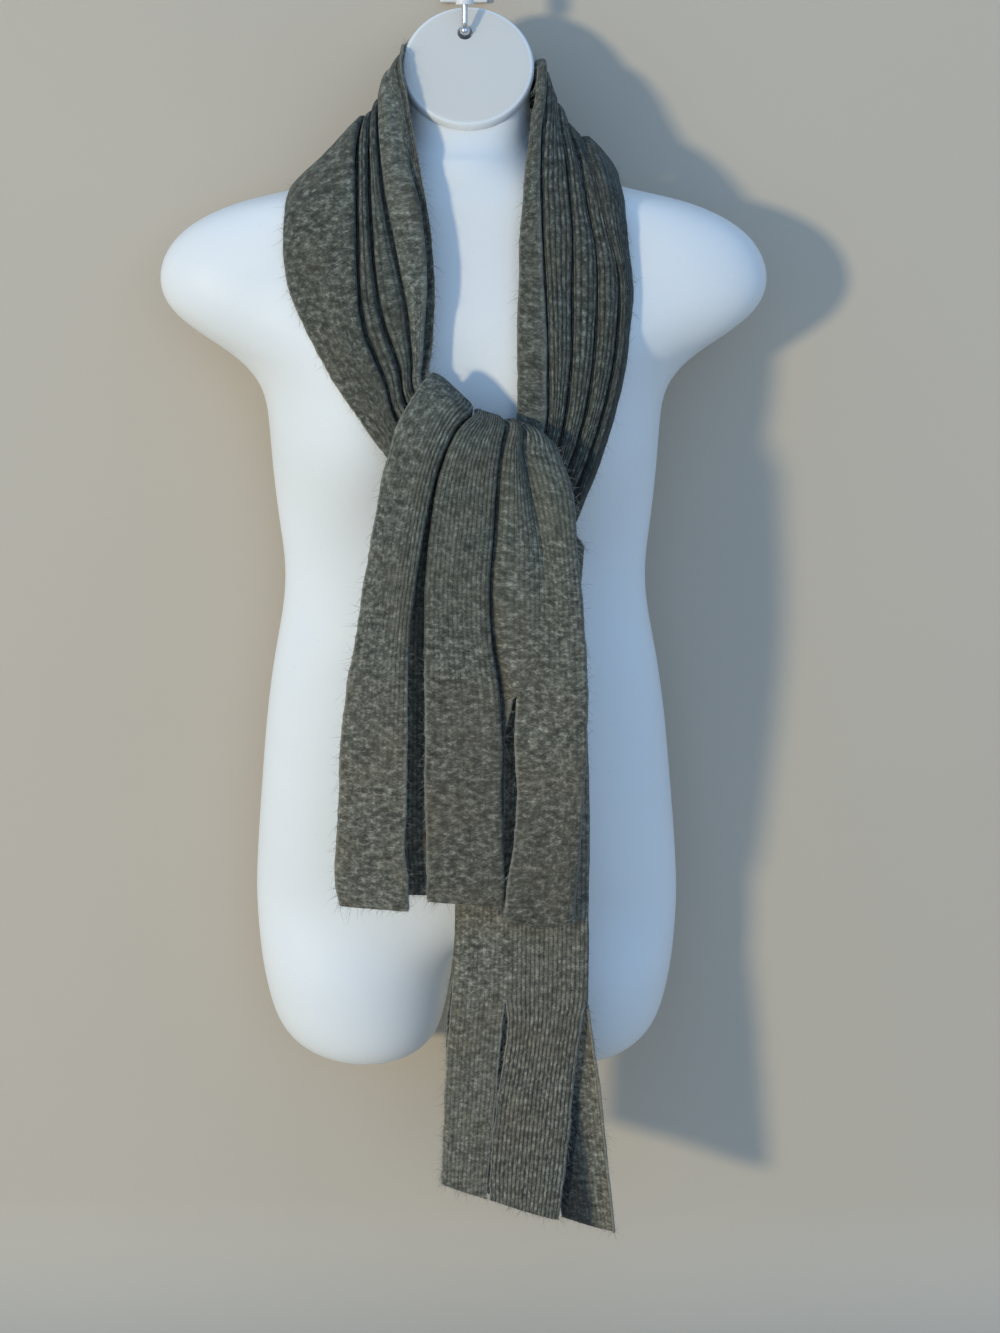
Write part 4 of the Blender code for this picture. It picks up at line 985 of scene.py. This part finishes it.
def front_row(at):
    """Return one row of the short end as its five strips of points.

    The first, third and fifth strips lie in front. The second lies in the
    recess behind the first two, and the fourth is turned under the third.
    """
    last = len(SHORT_END) - 1
    row = spline(SHORT_END, at)
    span = row.right - row.left
    ahead = spline(SHORT_END, min(at + 0.1, last))
    behind = spline(SHORT_END, max(at - 0.1, 0))
    travel = Vector((0, ahead.y - behind.y, (ahead.zl + ahead.zr - behind.zl - behind.zr) / 2))
    travel.normalize()
    inward = Vector((0, -travel.z, travel.y))
    depth_share = smooth(at, 2.2, 5.5)
    run = at / last * 4
    hem = SHORT_HEM_BULGE * smooth(at, last - 1, last)
    sag = CREST_SAG * smooth(at, 0.4, 1.5) * (1 - smooth(at, 2.6, 4.5))

    def spot(x, depth, panel):
        share = (x - row.left) / span
        z = mixed(row.zl, row.zr, share)
        z -= sag * math.exp(-((x - SAG_X) / SAG_REACH) ** 2)
        if x > row.p3l + 4:
            z -= hem * math.sin(math.pi * (x - row.p3l - 4) / (row.right - row.p3l - 4))
        return spot_on(Vector((x, row.y, z)) + depth * inward, panel)

    # A strip's painted light or shade: above 1 paints light, below 1 paints shade, changing down the
    # end
    def kind(name, painted_light=1.0, pale=0.0):
        if name in ("first", "first_fold"):
            painted_light *= mixed(1.1, 1.12, smooth(at, 6.0, 10.0))
        elif name == "fourth":
            painted_light *= mixed(1.14, 0.88, smooth(at, 9.0, 13.0))
        elif name == "third":
            painted_light *= mixed(1.05, 0.92, smooth(at, 8.0, 12.0))
        return (listed(SHORT_RIBS[name], run), painted_light, pale)

    def spots(*rows):
        return [spot(*values) for values in rows]

    is_cut = at > SHORT_FIRST_CUT
    rise = P2_RISE * smooth(at, 12.6, 14.0)
    width = row.p1 - row.left
    first = [spot(row.left + width * s, d, kind(n)) for s, d, n in
             ((0, 2.5, "first"), (0.12, 0.6, "first"), (0.35, -0.4, "first"),
              (0.6, -0.6, "first"), (0.8, -0.8, "first_fold"),
              (0.93, -1.4, "first_fold"), (1, -0.8, "first_fold"))]
    left = row.p1 - min(RECESS_TUCK, 0.5 * width)
    width = row.p2r - row.p2l
    right = row.p2l + min(RECESS_TUCK, 0.4 * width)
    floor = RECESS + 5.5 * depth_share
    edge = EDGE_GAP if is_cut else 0.0
    level = LAYER if is_cut else -0.2
    back = LAYER + 0.2
    # Painted shade on the second strip, in the recess behind the first two
    side = kind("second", 0.9)
    painted_shade = (0.5, mixed(0.85, 0.9, depth_share))
    second = spots((row.p1 - edge / 2, level, side), (row.p1 - edge, LAYER, painted_shade),
                   (left, back, painted_shade), (left, floor, painted_shade),
                   (mixed(row.p1, row.p2l, 0.5), floor, painted_shade), (right, floor, painted_shade),
                   (right, back, painted_shade), (row.p2l + edge, LAYER, painted_shade),
                   (row.p2l + edge / 2, level, side))
    second = [raised(values, rise * share) for values, share in
              zip(second, (0, 0.5, 0.7, 0.7, 0.8, 0.9, 1, 1, 1))]
    first[-1][:3] = second[0][:3] if not is_cut else first[-1][:3]
    third = [raised(spot(row.p2l + width * s, d, kind("third", t)), rise) for s, d, t in
             ((0, -0.2, 0.95), (0.08, -1.0, 1.0), (0.3, -1.4, 1.0), (0.6, -1.5, 1.0),
              (0.88, -1.2, 1.0), (1, -0.6, 0.97))]
    turned = row.p2r - min(row.under, 0.35 * width)
    # Painted shade on the fourth strip, turned under the third
    painted_shade = (0.5, 0.62)
    sliver = listed(SLIVER, at)
    slit = listed(SLIT, at)
    opened = at > SHORT_LAST_CUT
    fourth = [third[-1]] + spots((row.p2r, LAYER, painted_shade), (turned, back, painted_shade))
    if opened:
        start = slit
        level = mixed(0.5, SLIVER_LEVEL, smooth(at, 9.0, 10.0))
        fourth += spots((turned, PLEAT - 0.5, painted_shade), (row.p2r - 1.0, PLEAT - 1.5, painted_shade),
                        (row.p2r, SLIVER_LEVEL, painted_shade),
                        (mixed(row.p2r, sliver, 0.4), SLIVER_LEVEL, painted_shade),
                        (sliver, level, kind("fourth", 0.72, 0.1)))
        fifth = [spot(start, 0.5, kind("fourth", 0.95))]
    else:
        start = max(row.p3l + 8.0, slit)
        fourth += spots((turned, PLEAT + 0.5, painted_shade), (row.p2r + 1.0, PLEAT + 0.5, painted_shade),
                        (row.p3l + 2.0, 3.0, kind("fourth", 0.85)),
                        (row.p3l + 4.5, 0.8, kind("fourth", 0.97)),
                        (start, 0.2, kind("fourth")))
        fifth = [fourth[-1]]
    dip = 1.5 * row.dip
    # Painted shade deepens towards the third strip's valley and its right edge
    for low, high, share, depth, painted_light in (
            (start, row.valley, 0.45, 0.1 * dip, 1.0), (start, row.valley, 0.8, 0.55 * dip, 0.97),
            (start, row.valley, 1, dip, 0.92), (row.valley, row.right, 0.2, 0.5 * dip, 1.0),
            (row.valley, row.right, 0.45, -0.2, 1.0), (row.valley, row.right, 0.8, 0.4, 1.0),
            (row.valley, row.right, 1, 3.0, 0.9)):
        fifth.append(spot(mixed(low, high, share), depth, kind("fourth", painted_light)))
    return [first, second, third, fourth, fifth]


def build_short_end(wool):
    """Make the short end that falls in front of the knot."""
    places, strips = hung_strips(SHORT_END, front_row)
    first = sum(at < SHORT_FIRST_CUT for at in places) - 1
    third = sum(at < SHORT_LAST_CUT for at in places) - 1
    cuts = [first, first, len(places) - 1, third]
    return finish_cloth("scarf_front", strips, cuts, 5, wool)


# Ribs of the long end's strips at its first and last rows, and the painted light that brightens it
LONG_RIBS = {
    "far": (0.4, 0.4), "one": (0.25, 0.45), "two": (0.55, 0.85), "behind": (0.4, 0.3),
}
TAIL_PAINTED_LIGHT = 1.28


def tail_row(at):
    """Return one row of the long end as its four strips of points."""
    row = spline(LONG_END, at)
    span = row.right - row.left
    run = smooth(at, 5.0, 9.0)

    def spot(x, depth, name, painted_light=1.0):
        painted_light *= TAIL_PAINTED_LIGHT
        share = (x - row.left) / span
        z = mixed(row.zl, row.zr, max(-0.2, min(1.4, share)))
        rib = mixed(*LONG_RIBS[name], run)
        return spot_on(Vector((x, row.y + depth, z)), (rib, painted_light))

    back = BACK_STEP
    cut_left = at > LONG_LEFT_CUT
    cut_right = at > LONG_RIGHT_CUT
    # Painted shade on the strip behind on the left
    far = [spot(mixed(row.far_r, row.far_l, s), back, "far", 0.6) for s in (0, 0.35, 0.7, 0.95)]
    far.append(spot(row.far_l - 1, back - 2.5, "far", 0.6))
    far.append(spot(row.far_l if cut_left else row.left, back - 5.0 if cut_left else 2.5,
                    "far", 0.7))
    one = [spot(row.left, 2.5, "one")]
    one += [spot(mixed(row.left, row.c1, s), d, "one") for s, d in
            ((0.08, 0.8), (0.3, 0), (0.6, -0.3), (0.9, 0))]
    one.append(spot(row.c1, 0.2, "one"))
    two = [spot(row.c2, 0.2, "two") if at > LONG_MIDDLE_CUT else one[-1]]
    two += [spot(mixed(row.c2, row.right, s), d, "two") for s, d in
            ((0.1, 0), (0.35, -0.4), (0.65, -0.4), (0.9, 0.5))]
    two.append(spot(row.right, 2.5, "two"))
    # Painted shade on the strip behind on the right, darkest on its far part
    behind = [spot(row.back_r if cut_right else row.right, 4.0 if cut_right else 2.5,
                   "behind", 0.8),
              spot(row.back_r + 0.5, back - 2.5, "behind", 0.9)]
    behind += [spot(mixed(row.back_r, row.back_l, s), back, "behind", t) for s, t in
               ((0.08, 1.05), (0.30, 1.05), (0.38, 0.36), (0.6, 0.2), (1, 0.2))]
    return [far, one, two, behind]


def build_long_end(wool):
    """Make the long end that hangs behind the short one."""
    places, strips = hung_strips(LONG_END, tail_row)
    cuts = [sum(at <= cut for at in places) - 1
            for cut in (LONG_LEFT_CUT, LONG_MIDDLE_CUT, LONG_RIGHT_CUT)]
    return finish_cloth("scarf_tail", strips, cuts, 6, wool)


def build_form(plastic):
    """Make the smooth torso form with the hole that the hook goes through."""
    form = add_object("form_shell", form_mesh(), plastic)
    finer = form.modifiers.new("finer", "SUBSURF")
    finer.levels = 2
    finer.render_levels = 2
    mouth = Vector((HOOK_X, HOLE_Y, HOLE_Z))
    bpy.ops.mesh.primitive_cylinder_add(vertices=48, radius=HOLE_RADIUS * MM,
                                        depth=2 * HOLE_DEPTH * MM, location=mouth * MM)
    cutter = bpy.context.object
    cutter.rotation_mode = "QUATERNION"
    cutter.rotation_quaternion = neck_way().to_track_quat("Z", "Y")
    bpy.context.view_layer.update()
    hole = form.modifiers.new("hole", "BOOLEAN")
    hole.object = cutter
    hole.operation = "DIFFERENCE"
    bpy.context.view_layer.update()
    graph = bpy.context.evaluated_depsgraph_get()
    made = bpy.data.meshes.new_from_object(form.evaluated_get(graph))
    form.modifiers.clear()
    form.data = made
    bpy.data.objects.remove(cutter)
    made.shade_smooth()
    made.set_sharp_from_angle(angle=SHARP)
    return form


def tube(name, path, radii, sides, material):
    """Skin a round tube along a path with a radius at each point."""
    points = []
    faces = []
    for i, (place, radius) in enumerate(zip(path, radii)):
        ahead = Vector(path[min(i + 1, len(path) - 1)]) - Vector(path[max(i - 1, 0)])
        ahead.normalize()
        side = Vector((1, 0, 0))
        up = ahead.cross(side).normalized()
        for k in range(sides):
            angle = -2 * math.pi * k / sides
            points.append(tuple((Vector(place) + radius * (math.cos(angle) * side
                                                           + math.sin(angle) * up)) * MM))
    for i in range(len(path) - 1):
        for k in range(sides):
            j = (k + 1) % sides
            faces.append((i * sides + j, i * sides + k, (i + 1) * sides + k, (i + 1) * sides + j))
    faces.append(tuple(range(sides)))
    end = (len(path) - 1) * sides
    faces.append(tuple(range(end + sides - 1, end - 1, -1)))
    mesh = new_mesh(name, points, faces)
    mesh.validate()
    thing = add_object(name, mesh, material)
    mesh.set_sharp_from_angle(angle=SHARP)
    return thing


def build_hook(steel):
    """Make the bright wire with its round end in the form's hole."""
    centre_y = WIRE_Y + WIRE_BEND
    centre_z = WIRE_LEVEL + WIRE_BEND
    path = [(HOOK_X, WIRE_Y, z) for z in steps(WIRE_TOP, centre_z, 8)]
    for angle in steps(math.pi, 1.5 * math.pi, 14)[1:]:
        path.append((HOOK_X, centre_y + WIRE_BEND * math.cos(angle),
                     centre_z + WIRE_BEND * math.sin(angle)))
    path.append((HOOK_X, WIRE_END_Y, WIRE_LEVEL))
    wire = tube("hook_steel_wire", path, [WIRE_RADIUS] * len(path), 24, steel)
    bpy.ops.mesh.primitive_uv_sphere_add(segments=40, ring_count=24, radius=BEAD_RADIUS * MM,
                                         location=Vector((HOOK_X, BEAD_Y, WIRE_LEVEL)) * MM)
    bead = bpy.context.object
    bead.name = "hook_bead"
    bead.data.materials.append(steel)
    bead.data.shade_smooth()
    return wire, bead


# Straight stretches in a fibre, fibres on each point of a free edge, and how
# many of the cloth's points there are to each fibre that lies on it
FIBRE_JOINTS = 3
EDGE_FIBRES = 5
POINTS_PER_FIBRE = 8


def scatter_fibres(pieces, material):
    """Lay loose fibres over the cloth, thick along its free edges."""
    chance = random.Random(11)
    points = []
    faces = []

    def thrown(draw, *limits):
        return Vector([draw(*limits) for _ in range(3)])

    def fibre(root, way, length, width, bend=0.7):
        side = way.cross(thrown(chance.uniform, -1, 1)).normalized()
        curl = side.cross(way) * chance.uniform(-bend, bend)
        start = len(points)
        for i in range(FIBRE_JOINTS + 1):
            share = i / FIBRE_JOINTS
            middle = root + length * (share * way + share * share * curl)
            middle.z -= 0.25 * length * share * share
            half = 0.5 * width * (1 - 0.8 * share)
            points.append(tuple(middle - half * side))
            points.append(tuple(middle + half * side))
        for i in range(FIBRE_JOINTS):
            a = start + 2 * i
            faces.append((a, a + 1, a + 3, a + 2))

    for piece in pieces:
        mesh = piece.data
        edge_use = {}
        for face in mesh.polygons:
            for key in face.edge_keys:
                edge_use[key] = edge_use.get(key, 0) + 1
        free = sorted({v for key, used in edge_use.items() if used == 1 for v in key})
        normals = [v.normal.copy() for v in mesh.vertices]
        for number in free:
            for _ in range(EDGE_FIBRES):
                root = mesh.vertices[number].co
                way = (thrown(chance.gauss, 0, 1) + 0.4 * normals[number]).normalized()
                length = chance.uniform(1.2, 3.2) ** 2
                fibre(root, way, MM * length, MM * chance.uniform(0.18, 0.34), 1.1)
        for _ in range(len(mesh.vertices) // POINTS_PER_FIBRE):
            number = chance.randrange(len(mesh.vertices))
            way = thrown(chance.gauss, 0, 1)
            sign = 1 if chance.random() < 0.5 else -1
            way = (way * 0.7 + sign * normals[number]).normalized()
            fibre(mesh.vertices[number].co + sign * 0.9 * MM * normals[number], way,
                  MM * chance.uniform(1.0, 4.5), MM * chance.uniform(0.10, 0.24))
    return add_object("scarf_fibres", new_mesh("scarf_fibres", points, faces), material)


def pale_material(name, colour):
    """Make the plain pale wall and floor, which doesn't show from behind."""
    w = Wiring(name)
    dull = tuple(c * 0.97 for c in colour)
    shade = w.mottled(2.0, 3.0, 0.3, 0.7, dull + (1,), colour + (1,))
    behind = w.add("ShaderNodeNewGeometry").outputs["Backfacing"]
    clear = w.add("ShaderNodeBsdfTransparent").outputs[0]
    mix = w.wired("ShaderNodeMixShader", 0, (behind, w.shader.outputs[0], clear))
    w.join(mix, w.tree.nodes["Material Output"].inputs[0])
    return w.finished({"Base Color": shade, "Roughness": 0.9})


def build_stage():
    """Make a plain pale wall that runs into a plain pale floor."""
    half = 4.0
    wall_y = 0.0015
    floor_z = -1.16
    bend = 0.12
    line = [(wall_y, 3.0)]
    for angle in steps(0, math.pi / 2, 9):
        line.append((wall_y - bend + bend * math.cos(angle), floor_z + bend - bend * math.sin(angle)))
    line.append((-5.0, floor_z))
    points = []
    for y, z in line:
        points += [(-half, y, z), (half, y, z)]
    faces = [(2 * i, 2 * i + 1, 2 * i + 3, 2 * i + 2) for i in range(len(line) - 1)]
    mesh = new_mesh("stage", points, [face[::-1] for face in faces])
    stage = add_object("stage", mesh, pale_material("stage_pale", (0.56, 0.50, 0.42)))


def add_area(name, place, aim, size, power, colour):
    light = bpy.data.lights.new(name, "AREA")
    light.shape = "DISK"
    light.size = size
    light.energy = power
    light.color = colour
    thing = bpy.data.objects.new(name, light)
    thing.location = place
    thing.rotation_mode = "QUATERNION"
    thing.rotation_quaternion = (Vector(aim) - Vector(place)).to_track_quat("-Z", "Y")
    bpy.context.collection.objects.link(thing)


def build_light():
    """Make soft studio light from the left, at about the camera's height."""
    add_area("key", (-4.55, -5.26, 0.05), (0.0, -0.1, -0.40), 0.64, 236.0, (1.0, 0.86, 0.58))
    add_area("front", (0.9, -3.2, 0.3), (0.0, -0.1, -0.40), 1.6, 7.0, (1.0, 0.93, 0.82))
    world = bpy.data.worlds.new("room")
    bpy.context.scene.world = world
    world.use_nodes = True
    background = world.node_tree.nodes["Background"]
    background.inputs["Color"].default_value = (0.37, 0.625, 0.98, 1)
    background.inputs["Strength"].default_value = 0.84


def build_camera():
    data = bpy.data.cameras.new("camera")
    data.lens = CAMERA_LENS
    data.sensor_width = SENSOR
    camera = bpy.data.objects.new("camera", data)
    camera.location = CAMERA_PLACE
    camera.rotation_euler = (math.radians(CAMERA_PITCH), 0, 0)
    bpy.context.collection.objects.link(camera)
    bpy.context.scene.camera = camera


def build_all():
    build_camera()
    build_light()
    build_stage()
    wool = wool_material()
    steel = steel_material()
    form = build_form(plastic_material())
    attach(form, "root")
    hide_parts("form")
    wire, bead = build_hook(steel)
    for thing in (wire, bead):
        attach(thing, "root")
    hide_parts("hook_wire")
    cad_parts["wall_plate"].material_slots[0].material = plate_material()
    bpy.context.view_layer.update()
    shape = BVHTree.FromObject(form, bpy.context.evaluated_depsgraph_get())
    left, neck, right = build_collar(shape, wool)
    turn = build_turn(wool)
    front = build_short_end(wool)
    tail = build_long_end(wool)
    cloth = [left, neck, right, turn, front, tail]
    fibres = scatter_fibres(cloth, hair_material())
    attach(fibres, "root")
    nodes = ["strand_left", "neck_back", "strand_right", "knot_turn", "front_end", "long_end"]
    bpy.context.view_layer.update()
    for piece, node in zip(cloth, nodes):
        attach(piece, "root")
        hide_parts(node)


build_all()
